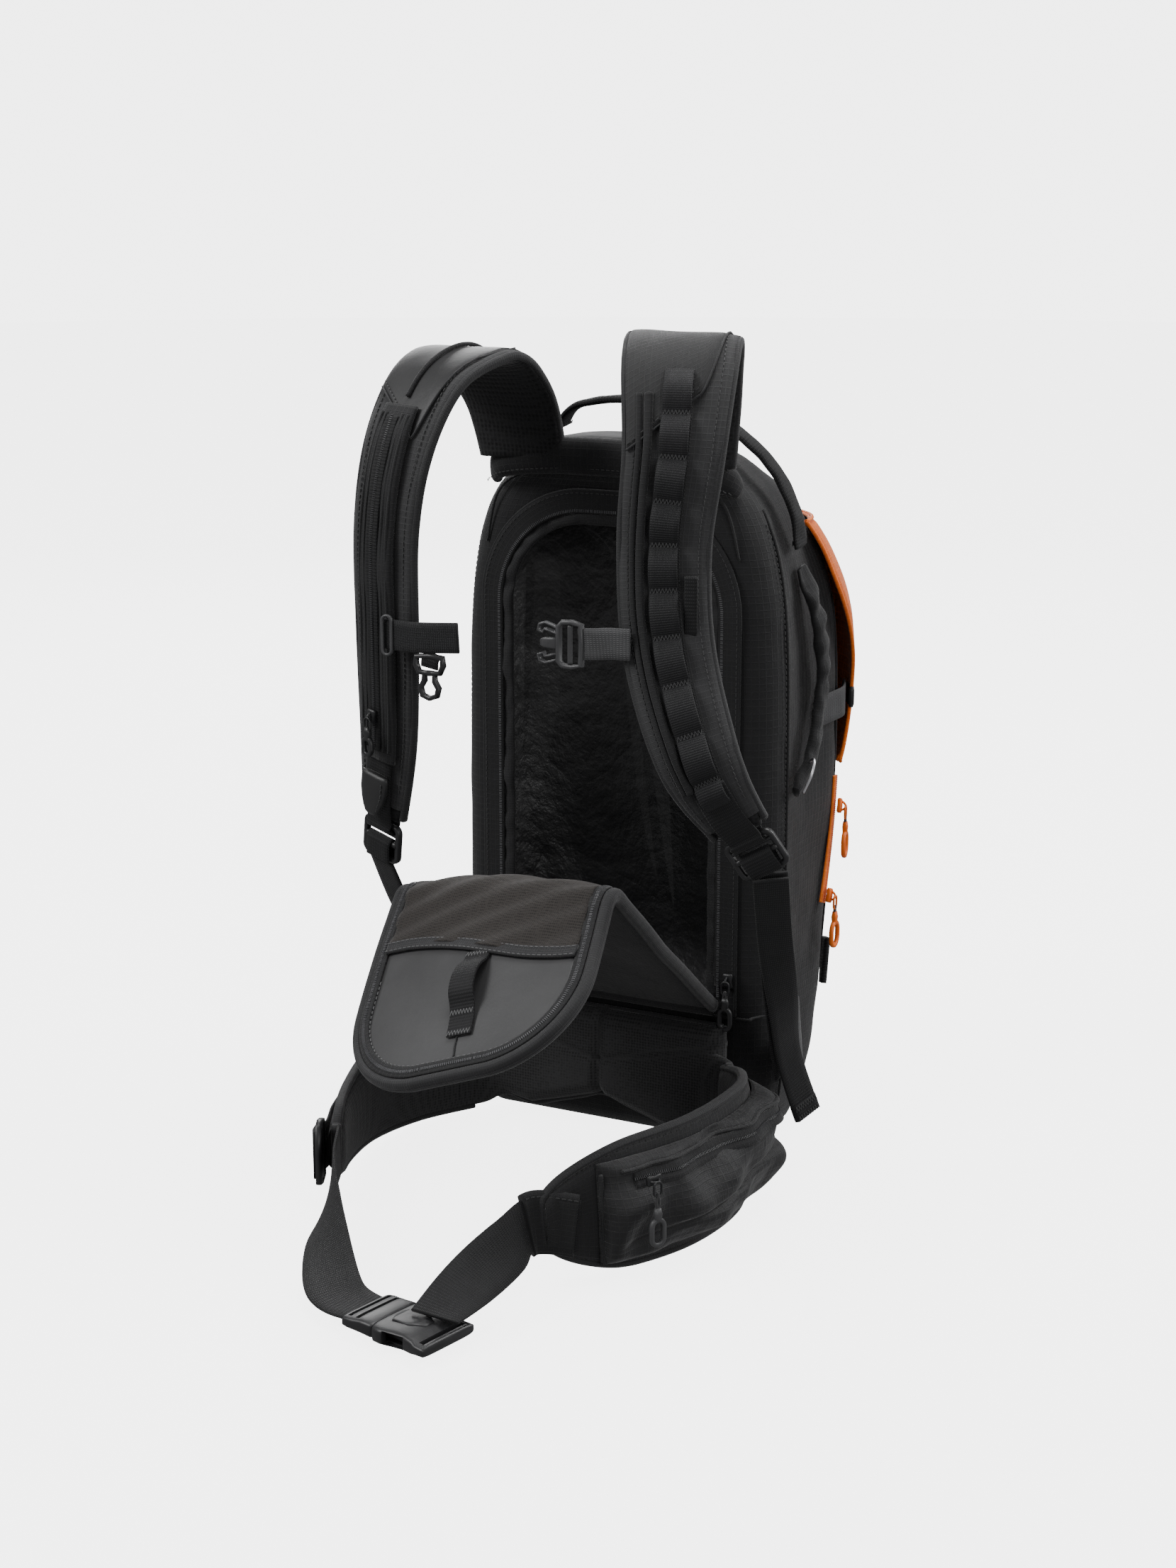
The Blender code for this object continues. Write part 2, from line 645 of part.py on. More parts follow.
def build_hip_belt():
    mesh_paint = paint("air_mesh", CHARCOAL, 0.9)
    pad = [(0.098, 0.100), (-0.098, 0.100), (-0.104, 0.020), (-0.060, 0.012), (0.0, 0.030), (0.060, 0.012),
           (0.104, 0.020)]
    plate("lumbar_pad", [pad], 0.020, mesh_paint, Matrix.Translation((0, -0.0115, 0)) @ UPRIGHT)
    hinge = axis_empty("belt_hinge", BELT_HINGE)
    upright = (0, 0, 1)
    right = Route(WING_RIGHT, [upright] * 6, WING_RIGHT_WIDTHS)
    left = Route(WING_LEFT, [upright] * 5, WING_LEFT_WIDTHS)
    wing_paint = paint("wing_fabric", CHARCOAL, 0.75)
    strip("hip_wing_right", right, WING_THICKNESS, wing_paint, steps=20, parent=hinge, origin=BELT_HINGE)
    strip("hip_wing_left", left, WING_THICKNESS, wing_paint, steps=16)
    pocket_lift = -(WING_THICKNESS + POCKET_THICKNESS) / 2 - GAP
    ripstop = paint("pocket_ripstop", BLACK, 0.7)
    pocket = strip("hip_pocket", right, POCKET_THICKNESS, ripstop, (0.18, 0.84), 14,
                   pocket_lift, 0.074, parent=hinge, origin=BELT_HINGE)
    bevel(pocket, 0.006, 2)

    black = paint("waist_webbing", BLACK, 0.75)
    turn = Matrix.Rotation(math.radians(BUCKLE_TURN), 3, "Z")
    ahead, across = turn @ Vector((1, 0, 0)), turn @ Vector((0, 1, 0))
    left_end = BUCKLE_AT - ahead * (MALE_LENGTH + 0.0045)
    before = left_end - ahead * 0.030 + across * 0.005 + Vector((0, 0, 0.003))
    points = [(-0.1035, -0.2285, 0.038), (-0.088, -0.262, 0.032), (-0.058, -0.318, 0.023), before, left_end]
    sides = [upright, (0.1, 0.1, 1), (0.5, 0.5, 0.7), (0.6, 0.8, 0.2), across]
    strip("waist_webbing_left", Route(points, sides, WAIST_WEB), WEB, black, steps=18)
    adjuster = Vector((-0.110, -0.2245, 0.038))
    box("waist_adjuster", (0.005, 0.020, 0.046), adjuster + Vector((-0.0085, -0.004, 0)),
        paint("adjuster_plastic", BLACK, 0.35), Matrix.Rotation(math.radians(24), 3, "Z"), 0.001)

    right_end = BUCKLE_AT + ahead * 0.030 + across * 0.004 + Vector((0, 0, 0.0105))
    points = [(0.0855, -0.2845, 0.044), (0.084, -0.315, 0.039), (0.079, -0.350, 0.031), right_end]
    sides = [(-0.1, 0, 1), (-0.5, 0, 0.85), (-0.8, 0.1, 0.55), -ahead]
    strip("waist_webbing_right", Route(points, sides, WAIST_WEB), WEB, black, steps=16, parent=hinge,
          origin=BELT_HINGE)
    build_buckle(turn, ahead, across, hinge)
    return right, hinge


def build_buckle(turn, ahead, across, hinge):
    plastic = paint("buckle_plastic", BLACK, 0.35)
    female_at = BUCKLE_AT + ahead * (FEMALE_LENGTH / 2)
    female = box("buckle_female", (FEMALE_LENGTH, BUCKLE_WIDTH, BUCKLE_THICKNESS), female_at, plastic, turn,
                 0.0015, hinge)
    hollow = (FEMALE_LENGTH - 0.010, BUCKLE_WIDTH - 2 * BUCKLE_WALL, BUCKLE_THICKNESS - 2 * BUCKLE_WALL)
    cutter = box("socket_cutter", hollow, female_at - ahead * 0.010, plastic, turn, 0, hinge)
    cut(female, cutter)
    male_at = BUCKLE_AT - ahead * (MALE_LENGTH / 2 + 0.001)
    male_size = (MALE_LENGTH, BUCKLE_WIDTH - 0.004, BUCKLE_THICKNESS - 0.001)
    box("buckle_male", male_size, male_at, plastic, turn, 0.0015)
    for name, sign in (("left", -1), ("right", 1)):
        at = BUCKLE_AT + ahead * (PRONG_LENGTH / 2 - 0.0005) + across * sign * (BUCKLE_WIDTH / 2 - 0.011)
        box("buckle_prong_" + name, (PRONG_LENGTH, PRONG_WIDTH, 0.005), at, plastic, turn, 0.0008)


def build_strap_zip(left):
    point, side, out, along = left.frame(0.84)
    at = point + out * (STRAP_THICKNESS / 2 + GAP + 0.008 + 0.003)
    slider_and_pull("strap_zip", at, -along, out, 0.026, BLACK, pull_width=0.008)


def build_pocket_zip(right, hinge):
    t = 0.76
    point, side, out, along = right.frame(t)
    at = point - out * (WING_THICKNESS / 2 + POCKET_THICKNESS + 0.0036) + side * 0.026
    slider_and_pull("hip_pocket", at, along, -out, 0.046, BLACK, hinge)


# What is inside


def build_inside(left):
    fabric = paint("lining", (0.02, 0.02, 0.021), 0.5)
    box("divider", (0.220, 0.003, 0.380), (0, 0.082, 0.240), fabric)
    for name, x in (("left", -0.094), ("right", 0.094)):
        metal = paint("stay_" + name, (0.6, 0.6, 0.62), 0.35, 1.0)
        box("stay_" + name, (0.010, 0.003, 0.400), (x, 0.0068, 0.250), metal)
    nylon = paint("airbag_nylon", ORANGE, 0.6)
    box("airbag_folded", (0.170, 0.052, 0.070), (0, 0.118, 0.425), nylon, Matrix(), 0.012)
    lie = Matrix.Rotation(math.radians(90), 3, "X")
    housing_paint = paint("fan_housing", (0.05, 0.05, 0.055), 0.4)
    housing = cylinder("fan_housing", FAN_RADIUS, FAN_LENGTH, FAN_AT, housing_paint, lie)
    bore_at = FAN_AT + Vector((0, 0.005, 0))
    cut(housing, cylinder("fan_cutter", FAN_RADIUS - 0.003, FAN_LENGTH, bore_at, housing_paint, lie))
    steel = paint("motor_steel", (0.5, 0.5, 0.5), 0.3, 1.0)
    box("fan_motor", (0.026, 0.020, 0.026), FAN_AT + Vector((0, -0.0085, 0)), steel, Matrix(), 0.004)
    build_impeller()
    case = paint("battery_case", (0.03, 0.03, 0.03), 0.5)
    box("battery_pack", (0.130, 0.034, 0.080), (0, 0.110, 0.205), case, Matrix(), 0.004)

    # The trigger: its handle stands in the zipped pocket's foot, and its cable runs up the strap.
    point, side, out, along = left.frame(0.945)
    at = point + out * (STRAP_THICKNESS / 2 + 0.0065)
    pose = Matrix((along, side, out)).transposed()
    box("trigger_handle", (0.030, 0.026, 0.009), at, paint("trigger_plastic", CHARCOAL, 0.4), pose, 0.002)
    cable = []
    for t in (0.10, 0.16, 0.22, 0.28, 0.34, 0.40, 0.435):
        point, side, out, _ = left.frame(t)
        cable.append(point + out * (STRAP_THICKNESS / 2 + 0.0035))
    tube("trigger_cable", cable, 0.0025, paint("cable_sleeve", BLACK, 0.5), steps=18)


def build_impeller():
    metal = paint("impeller_plastic", (0.55, 0.55, 0.55), 0.4)
    at = FAN_AT + Vector((0, 0.0115, 0))
    bm = bmesh.new()
    lie = Matrix.Rotation(math.radians(90), 4, "X")
    bmesh.ops.create_cone(
        bm, cap_ends=True, segments=20, radius1=0.036, radius2=0.036, depth=0.003, matrix=lie
    )
    disc = add("impeller", mesh_from(bm, "impeller"), metal, (0, 0, 0))
    disc.location = at
    for i in range(6):
        angle = math.radians(60 * i)
        blade = box(f"blade_{i}", (0.018, 0.012, 0.002), (0, 0, 0), metal)
        blade.location = at + Vector((0.022 * math.cos(angle), 0.006, 0.022 * math.sin(angle)))
        blade.rotation_euler = (0, -angle - math.radians(35), 0)
        cut(disc, blade, "UNION")


build_bag()
build_opening_zip()
build_outer_panel()
build_zip_sliders()
build_side()
build_back_panel()
LEFT_STRAP, RIGHT_STRAP = build_straps()
build_chest_strap(LEFT_STRAP, RIGHT_STRAP)
build_shoulder_webbing(LEFT_STRAP, RIGHT_STRAP)
RIGHT_WING, BELT = build_hip_belt()
build_strap_zip(LEFT_STRAP)
build_pocket_zip(RIGHT_WING, BELT)
build_inside(LEFT_STRAP)

for piece in list(BAG.objects) + list(CUTTERS.objects):
    if piece.parent is None:
        piece.location.y -= BASE_MIDDLE
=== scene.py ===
"""How the avalanche airbag backpack looks: fabric, webbing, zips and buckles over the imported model.

Lengths are in metres. Places are given with the back's plane at y = 0, as the part's source lays them out,
and at() moves them into the model's own frame.
"""

import json
import math

import bmesh
import bpy
from mathutils import Matrix, Vector, noise


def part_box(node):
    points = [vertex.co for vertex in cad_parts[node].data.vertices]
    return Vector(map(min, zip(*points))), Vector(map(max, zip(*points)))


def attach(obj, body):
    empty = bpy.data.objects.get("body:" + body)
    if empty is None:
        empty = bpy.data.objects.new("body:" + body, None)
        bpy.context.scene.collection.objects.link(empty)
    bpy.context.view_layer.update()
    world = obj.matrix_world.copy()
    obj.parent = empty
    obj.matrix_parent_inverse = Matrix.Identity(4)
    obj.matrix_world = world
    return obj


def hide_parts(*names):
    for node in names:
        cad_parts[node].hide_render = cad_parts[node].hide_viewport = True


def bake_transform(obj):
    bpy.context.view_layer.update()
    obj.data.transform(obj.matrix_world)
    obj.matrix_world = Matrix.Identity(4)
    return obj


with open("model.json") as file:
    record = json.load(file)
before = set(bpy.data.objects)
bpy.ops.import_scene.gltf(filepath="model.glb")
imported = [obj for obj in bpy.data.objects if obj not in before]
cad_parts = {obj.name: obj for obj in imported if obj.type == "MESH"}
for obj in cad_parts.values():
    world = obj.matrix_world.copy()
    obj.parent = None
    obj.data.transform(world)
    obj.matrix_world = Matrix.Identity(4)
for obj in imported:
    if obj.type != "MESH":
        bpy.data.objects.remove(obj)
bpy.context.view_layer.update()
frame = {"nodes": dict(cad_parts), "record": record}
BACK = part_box("main_shell")[0][1]

UP = Vector((0, 0, 1))
OUTWARD = Vector((0, -1, 0))  # from the bag's back towards the wearer


def at(x, y, z):
    """A place in the model's own frame."""
    return Vector((x, y + BACK, z))


# Paths and meshes


def spline_value(values, t):
    """A smooth curve through the values, at t from 0 to 1."""
    last = len(values) - 1
    place = min(max(t, 0.0), 1.0) * last
    i = min(int(place), last - 1)
    u = place - i
    a, b = values[max(i - 1, 0)], values[i]
    c, d = values[i + 1], values[min(i + 2, last)]
    return 0.5 * (
        2 * b + (c - a) * u + (2 * a - 5 * b + 4 * c - d) * u**2 + (3 * b - a - 3 * c + d) * u**3
    )


class Route:
    """A path with a width direction and a width at each place."""

    def __init__(self, points, sides, widths):
        self.points = [Vector(p) for p in points]
        self.sides = [Vector(s) for s in sides]
        self.widths = widths if isinstance(widths, (tuple, list)) else (widths,) * len(points)

    def frame(self, t):
        """The point at t, and the ways across the width, out of the face and along."""
        point = spline_value(self.points, t)
        ahead = spline_value(self.points, t + 0.01)
        behind = spline_value(self.points, t - 0.01)
        along = (ahead - behind).normalized()
        side = spline_value(self.sides, t)
        side = (side - side.dot(along) * along).normalized()
        return point, side, along.cross(side), along

    def width(self, t):
        return spline_value(self.widths, t)

    def place(self, t, side=0.0, out=0.0):
        """A point beside the path: side is a share of half the width, and out is in metres."""
        point, across, normal, _ = self.frame(t)
        return point + across * side * self.width(t) / 2 + normal * out


def linked(name, data):
    """A new object in the scene."""
    obj = bpy.data.objects.new(name, data)
    bpy.context.scene.collection.objects.link(obj)
    return obj


def mesh_from(bm, name):
    mesh = bpy.data.meshes.new(name)
    bm.to_mesh(mesh)
    bm.free()
    return mesh


def apply_modifiers(obj):
    depsgraph = bpy.context.evaluated_depsgraph_get()
    depsgraph.update()
    mesh = bpy.data.meshes.new_from_object(obj.evaluated_get(depsgraph))
    obj.modifiers.clear()
    obj.data = mesh
    for polygon in mesh.polygons:
        polygon.use_smooth = True


def thicken(obj, thickness, offset=-1):
    """Gives a sheet its thickness: all of it behind its face, or half on each side where offset is 0."""
    modifier = obj.modifiers.new("thickness", "SOLIDIFY")
    modifier.thickness = thickness
    modifier.offset = offset
    apply_modifiers(obj)


def cut_out(obj, cutter_mesh, overlapping=False, bevel=0.0):
    """Takes the cutter's space out of a piece, then breaks its sharp edges if there is a bevel."""
    cutter = linked(cutter_mesh.name, cutter_mesh)
    cut = obj.modifiers.new("cut", "BOOLEAN")
    cut.object = cutter
    cut.solver = "EXACT"
    cut.use_self = overlapping
    if bevel:
        edges = obj.modifiers.new("edges", "BEVEL")
        edges.width = bevel
        edges.segments = 2
        edges.limit_method = "ANGLE"
        edges.angle_limit = math.radians(40)
    apply_modifiers(obj)
    bpy.data.objects.remove(cutter)


def put(name, mesh, material, body="root", slot=None, replaces=(), smooth=True, blend=None):
    """Adds a piece that rides on a body, or, where blend is given, stays where it is built with its place baked
    into its mesh.
    """
    obj = linked(name, mesh)
    mesh.materials.append(material)
    for polygon in mesh.polygons:
        polygon.use_smooth = smooth
    if blend:
        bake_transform(obj)
    else:
        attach(obj, body)
    if replaces:
        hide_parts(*replaces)
    return obj


def loft(name, rings, closed=True, capped=True):
    """A mesh through rings of points, with UVs in metres: along the loft, then round the ring."""
    bm = bmesh.new()
    uv = bm.loops.layers.uv.new("UVMap")
    rows = [[bm.verts.new(p) for p in ring] for ring in rings]
    count = len(rows[0])
    middle = count // 2
    along = [0.0]
    for a, b in zip(rings, rings[1:]):
        along.append(along[-1] + ((b[0] - a[0]).length + (b[middle] - a[middle]).length) / 2)

    def girth(ring):
        return sum((ring[i] - ring[i - 1]).length for i in range(1, count))

    widest = max(rings, key=girth)
    around = [0.0]
    for i in range(count):
        around.append(around[-1] + (widest[(i + 1) % count] - widest[i]).length)
    for r in range(len(rows) - 1):
        for i in range(count if closed else count - 1):
            j = (i + 1) % count
            face = bm.faces.new((rows[r][i], rows[r][j], rows[r + 1][j], rows[r + 1][i]))
            corners = ((r, i), (r, i + 1), (r + 1, i + 1), (r + 1, i))
            for loop, (row, column) in zip(face.loops, corners):
                loop[uv].uv = (along[row], around[column])
    if closed and capped:
        bm.faces.new(rows[0][::-1])
        bm.faces.new(rows[-1])
    bmesh.ops.recalc_face_normals(bm, faces=bm.faces[:])
    return mesh_from(bm, name)


def flat_section(width, thick):
    """A flat strip with rounded edges, going round once, its face side first."""
    half, rim = width / 2, thick / 2
    across = [-1, -0.6, -0.2, 0.2, 0.6, 1]
    face = [(a * (half - rim * 0.6), rim) for a in across]
    return face + [(half, 0)] + [(x, -y) for x, y in face[::-1]] + [(-half, 0)]


def pad_section(width, thick, count=28, power=3.2):
    """A padded strap's section: flat in its middle and pulled thin at its sewn edges."""
    points = []
    for i in range(count):
        angle = math.pi * (1 - 2 * i / count)
        c, s = math.cos(angle), math.sin(angle)
        x = math.copysign(abs(c) ** (2 / power), c) * width / 2
        y = math.copysign(abs(s) ** (2 / power), s) * thick / 2
        points.append((x, y))
    return points


def round_section(radius, count=10):
    turns = [2 * math.pi * i / count for i in range(count)]
    return [(-radius * math.cos(a), radius * math.sin(a)) for a in turns]


def ripple(point, scale, size, seed=0.0):
    """A smooth pseudo-random height."""
    return size * noise.noise(point * scale + Vector((seed, seed * 1.7, -seed)))


def sweep(route, section, span=(0, 1), steps=40, lift=0.0, shift=0.0, wave=None):
    """Rings of a section carried along a route.

    section(t) gives its points, and wave(point) pushes them outward.
    """
    rings = []
    for i in range(steps + 1):
        t = span[0] + (span[1] - span[0]) * i / steps
        point, side, out, _ = route.frame(t)
        middle = point + out * lift + side * shift
        ring = []
        for x, y in section(t):
            p = middle + side * x + out * y
            if wave:
                p = p + out * wave(p) * (1 if y > 0 else 0.5)
            ring.append(p)
        rings.append(ring)
    return rings


def swept(
    name, route, section, material, body="root", span=(0, 1), steps=40, lift=0.0, shift=0.0, wave=None,
    **more,
):
    """A piece whose section, a list of points or a function that gives one, is carried along a route."""
    shape = section if callable(section) else lambda t: section
    rings = sweep(route, shape, span, steps, lift, shift, wave)
    return put(name, loft(name, rings), material, body, **more)


def webbing(name, route, width, thick, material, body="root", **more):
    """A woven strap; width may be a number or None for the route's own width."""
    return swept(name, route, lambda t: flat_section(width or route.width(t), thick), material, body, **more)


def line_route(points, normals=None, width=0.01):
    """A route through points whose face looks along the normals."""
    count = len(points)
    sides = []
    for i in range(count):
        along = (points[min(i + 1, count - 1)] - points[max(i - 1, 0)]).normalized()
        normal = normals[i] if normals else OUTWARD
        sides.append(normal.cross(along).normalized())
    return Route(points, sides, width)


def pipe(name, points, radius, material, body="root", steps=60, normals=None, count=10, **more):
    """A cord or piping through points."""
    route = line_route(points, normals)
    return swept(name, route, round_section(radius, count), material, body, steps=steps, **more)


BLOCK_TAPER = 0.22


def blocks(name, places, size, material, body="root", **more):
    """Many small blocks in one mesh, drawn in at their tops: places are (point, across, along, out)."""
    bm = bmesh.new()
    for point, across, along, out in places:
        turn = Matrix((across, along, out)).transposed().to_4x4()
        scale = Matrix.Diagonal((*size, 1.0))
        made = bmesh.ops.create_cube(bm, size=1.0, matrix=Matrix.Translation(point) @ turn @ scale)
        top = [v for v in made["verts"] if (v.co - point).dot(out) > 0]
        for v in top:
            v.co = v.co + (point - v.co) * BLOCK_TAPER
    bmesh.ops.recalc_face_normals(bm, faces=bm.faces[:])
    return put(name, mesh_from(bm, name), material, body, smooth=False, **more)


STITCH_PITCH = 0.0042
STITCH_SIZE = (0.0007, 0.0030, 0.0007)
TACK_PITCH = 0.0012
TACK_SIZE = (0.0006, 0.0042, 0.0006)
COIL_PITCH = 0.0015
COIL_SIZE = (0.0026, 0.0009, 0.0008)


def along_route(route, span, pitch, out=0.0, shift=0.0, side=0.0):
    """Frames at an even spacing along a route, for stitches and zip teeth."""
    samples = 2400
    last = None
    travelled = pitch
    found = []
    for i in range(samples + 1):
        t = span[0] + (span[1] - span[0]) * i / samples
        point, across, normal, ahead = route.frame(t)
        middle = point + across * (shift + side * route.width(t) / 2) + normal * out
        if last is not None:
            travelled += (middle - last).length
        if travelled >= pitch:
            found.append((middle, across, ahead, normal))
            travelled -= pitch
        last = middle
    return found


def stitches(name, route, span, material, body="root", out=0.0, shift=0.0, side=0.0, **more):
    """A row of thread on a route."""
    places = along_route(route, span, STITCH_PITCH, out, shift, side)
    return blocks(name, places, STITCH_SIZE, material, body, **more)


def bar_tack(name, centre, across, along, out, width, material, body="root"):
    """A dense zigzag of thread across a webbing."""
    places = []
    count = int(width / TACK_PITCH)
    for i in range(count):
        x = (i - (count - 1) / 2) * TACK_PITCH
        tilt = (along + across * 0.35 * (1 if i % 2 else -1)).normalized()
        places.append((centre + across * x, out.cross(tilt).normalized(), tilt, out))
    return blocks(name, places, TACK_SIZE, material, body)


# Materials


def shader_of(name, colour, roughness, metallic=0.0, sheen=0.0, coat=0.0, specular=0.5):
    material = bpy.data.materials.new(name)
    material.use_nodes = True
    shader = material.node_tree.nodes["Principled BSDF"]
    shader.inputs["Base Color"].default_value = (*colour, 1)
    shader.inputs["Roughness"].default_value = roughness
    shader.inputs["Metallic"].default_value = metallic
    shader.inputs["Sheen Weight"].default_value = sheen
    shader.inputs["Sheen Roughness"].default_value = 0.4
    shader.inputs["Coat Weight"].default_value = coat
    shader.inputs["Specular IOR Level"].default_value = specular
    return material, material.node_tree, shader


def new_node(tree, kind, **inputs):
    """A shader node with some of its inputs set."""
    node = tree.nodes.new(kind)
    for key, value in inputs.items():
        node.inputs[key.replace("_", " ")].default_value = value
    return node


def coordinates(tree, kind):
    return tree.nodes.new("ShaderNodeTexCoord").outputs[kind]


def noise_node(tree, where, scale, detail=3.0, rough=0.5):
    node = new_node(tree, "ShaderNodeTexNoise", Scale=scale, Detail=detail, Roughness=rough)
    tree.links.new(where, node.inputs["Vector"])
    return node.outputs["Fac"]


def bands(tree, where, direction, period):
    """Smooth stripes, one every period metres, from 0 to 1."""
    node = new_node(tree, "ShaderNodeTexWave", Scale=math.pi / (10 * period))
    node.wave_type = "BANDS"
    node.bands_direction = direction
    tree.links.new(where, node.inputs["Vector"])
    return node.outputs["Fac"]


def maths(tree, operation, a, b=None):
    node = tree.nodes.new("ShaderNodeMath")
    node.operation = operation
    for i, value in enumerate((a, b)):
        if value is None:
            continue
        if isinstance(value, (int, float)):
            node.inputs[i].default_value = value
        else:
            tree.links.new(value, node.inputs[i])
    return node.outputs[0]


def shade(tree, shader, factor, dark, light, low=0.3, high=0.7):
    """Base colour between two colours, by a factor from the texture."""
    ramp = tree.nodes.new("ShaderNodeValToRGB")
    ramp.color_ramp.elements[0].position = low
    ramp.color_ramp.elements[0].color = (*dark, 1)
    ramp.color_ramp.elements[1].position = high
    ramp.color_ramp.elements[1].color = (*light, 1)
    tree.links.new(factor, ramp.inputs["Fac"])
    tree.links.new(ramp.outputs["Color"], shader.inputs["Base Color"])


def vary_roughness(tree, shader, factor, low, high):
    node = tree.nodes.new("ShaderNodeMapRange")
    node.inputs["To Min"].default_value = low
    node.inputs["To Max"].default_value = high
    tree.links.new(factor, node.inputs["Value"])
    tree.links.new(node.outputs["Result"], shader.inputs["Roughness"])


def bumps(tree, shader, *layers):
    """Bump from (height, distance, strength) layers, the broad ones first."""
    normal = None
    for height, distance, strength in layers:
        node = new_node(tree, "ShaderNodeBump", Strength=strength, Distance=distance)
        tree.links.new(height, node.inputs["Height"])
        if normal:
            tree.links.new(normal, node.inputs["Normal"])
        normal = node.outputs["Normal"]
    tree.links.new(normal, shader.inputs["Normal"])


def tinted(colour, factor):
    return tuple(min(c * factor, 1.0) for c in colour)


def fabric(name, colour, roughness=0.8, grid=0.0055, crumple=1.0, sheen=0.15, thread=0.0011):
    """Woven bag fabric with a fine ripstop grid and soft crumples."""
    material, tree, shader = shader_of(name, colour, roughness, sheen=sheen, specular=0.35)
    where = coordinates(tree, "UV")
    place = coordinates(tree, "Object")
    weave = maths(tree, "MULTIPLY", bands(tree, where, "X", thread), bands(tree, where, "Y", thread))
    lines = maths(
        tree, "MAXIMUM",
        maths(tree, "POWER", bands(tree, where, "X", grid), 22.0),
        maths(tree, "POWER", bands(tree, where, "Y", grid), 22.0),
    )
    broad = noise_node(tree, place, 26.0, 4.0, 0.55)
    tone = maths(tree, "ADD", maths(tree, "MULTIPLY", lines, 0.30), maths(tree, "MULTIPLY", broad, 0.8))
    shade(tree, shader, tone, tinted(colour, 0.72), tinted(colour, 1.45), 0.2, 0.9)
    vary_roughness(tree, shader, broad, roughness - 0.10, roughness + 0.08)
    bumps(tree, shader, (broad, 0.0035 * crumple, 0.55), (lines, 0.0003, 0.5), (weave, 0.00025, 0.5))
    return material


def webbing_material(name, colour, pitch=0.0024, roughness=0.72):
    """Heavy woven tape: ribs across, with a fine weave between them."""
    material, tree, shader = shader_of(name, colour, roughness, sheen=0.06, specular=0.32)
    where = coordinates(tree, "UV")
    ribs = bands(tree, where, "X", pitch)
    fine = bands(tree, where, "Y", pitch * 0.55)
    weave = maths(tree, "MULTIPLY", ribs, fine)
    worn = noise_node(tree, coordinates(tree, "Object"), 60.0, 4.0)
    tone = maths(tree, "ADD", maths(tree, "MULTIPLY", weave, 0.5), maths(tree, "MULTIPLY", worn, 0.6))
    shade(tree, shader, tone, tinted(colour, 0.6), tinted(colour, 1.7), 0.15, 0.95)
    bumps(tree, shader, (worn, 0.0006, 0.4), (weave, 0.0005, 0.8))
    return material


def air_mesh(name, colour, cell=0.0034, depth=0.0010):
    """Open spacer mesh: a net of threads round holes darkened with painted shade."""
    material, tree, shader = shader_of(name, colour, 0.85, sheen=0.1, specular=0.3)
    node = new_node(tree, "ShaderNodeTexVoronoi", Scale=1 / cell, Randomness=0.25)
    tree.links.new(coordinates(tree, "Object"), node.inputs["Vector"])
    net = node.outputs["Distance"]
    broad = noise_node(tree, coordinates(tree, "Object"), 22.0, 3.0)
    # Painted shade: the colour darkens towards each cell's middle, the holes that the bump sinks, down to 0.35
    # of the mesh's colour.
    shade(tree, shader, net, tinted(colour, 0.35), tinted(colour, 1.35), 0.10, 0.55)
    bumps(tree, shader, (broad, 0.002, 0.5), (net, depth, 0.8))
    return material


def laminate(name, colour, roughness=0.5):
    """Smooth coated fabric with faint handling marks."""
    material, tree, shader = shader_of(name, colour, roughness, sheen=0.05, specular=0.45)
    place = coordinates(tree, "Object")
    broad = noise_node(tree, place, 14.0, 5.0, 0.6)
    fine = noise_node(tree, place, 900.0, 2.0)
    shade(tree, shader, broad, tinted(colour, 0.82), tinted(colour, 1.25), 0.25, 0.8)
    vary_roughness(tree, shader, broad, roughness - 0.08, roughness + 0.12)
    bumps(tree, shader, (broad, 0.003, 0.35), (fine, 0.00012, 0.5))
    return material


def coated(name, colour, roughness=0.38, crease=1.0):
    """The bag's dark coated lining, with glossy folds."""
    material, tree, shader = shader_of(name, colour, roughness, coat=0.22, specular=0.6)
    place = coordinates(tree, "Object")
    broad = noise_node(tree, place, 18.0, 6.0, 0.62)
    node = new_node(tree, "ShaderNodeTexVoronoi", Scale=16.0)
    node.feature = "DISTANCE_TO_EDGE"
    tree.links.new(place, node.inputs["Vector"])
    creases = maths(tree, "POWER", node.outputs["Distance"], 0.5)
    shade(tree, shader, broad, tinted(colour, 0.7), tinted(colour, 1.8), 0.2, 0.9)
    vary_roughness(tree, shader, broad, roughness - 0.08, roughness + 0.2)
    bumps(tree, shader, (broad, 0.006 * crease, 0.6), (creases, 0.002 * crease, 0.25))
    return material


def plastic(name, colour, roughness=0.38, grain=1.0):
    """Moulded plastic with a fine spark-eroded grain."""
    material, tree, shader = shader_of(name, colour, roughness, specular=0.5)
    place = coordinates(tree, "Object")
    fine = noise_node(tree, place, 1500.0, 2.0)
    broad = noise_node(tree, place, 60.0, 3.0)
    shade(tree, shader, broad, tinted(colour, 0.8), tinted(colour, 1.3), 0.3, 0.8)
    vary_roughness(tree, shader, broad, roughness - 0.05, roughness + 0.12)
    bumps(tree, shader, (fine, 0.00012 * grain, 0.5))
    return material


def thread_material(name, colour):
    material, tree, shader = shader_of(name, colour, 0.7, sheen=0.2)
    twist = noise_node(tree, coordinates(tree, "Object"), 1800.0, 2.0)
    shade(tree, shader, twist, tinted(colour, 0.6), tinted(colour, 1.4))
    bumps(tree, shader, (twist, 0.0002, 0.6))
    return material


def metal_material(name, colour, roughness=0.3):
    material, tree, shader = shader_of(name, colour, roughness, metallic=1.0)
    scratch = noise_node(tree, coordinates(tree, "Object"), 300.0, 5.0, 0.7)
    vary_roughness(tree, shader, scratch, roughness - 0.08, roughness + 0.15)
    bumps(tree, shader, (scratch, 0.00015, 0.3))
    return material


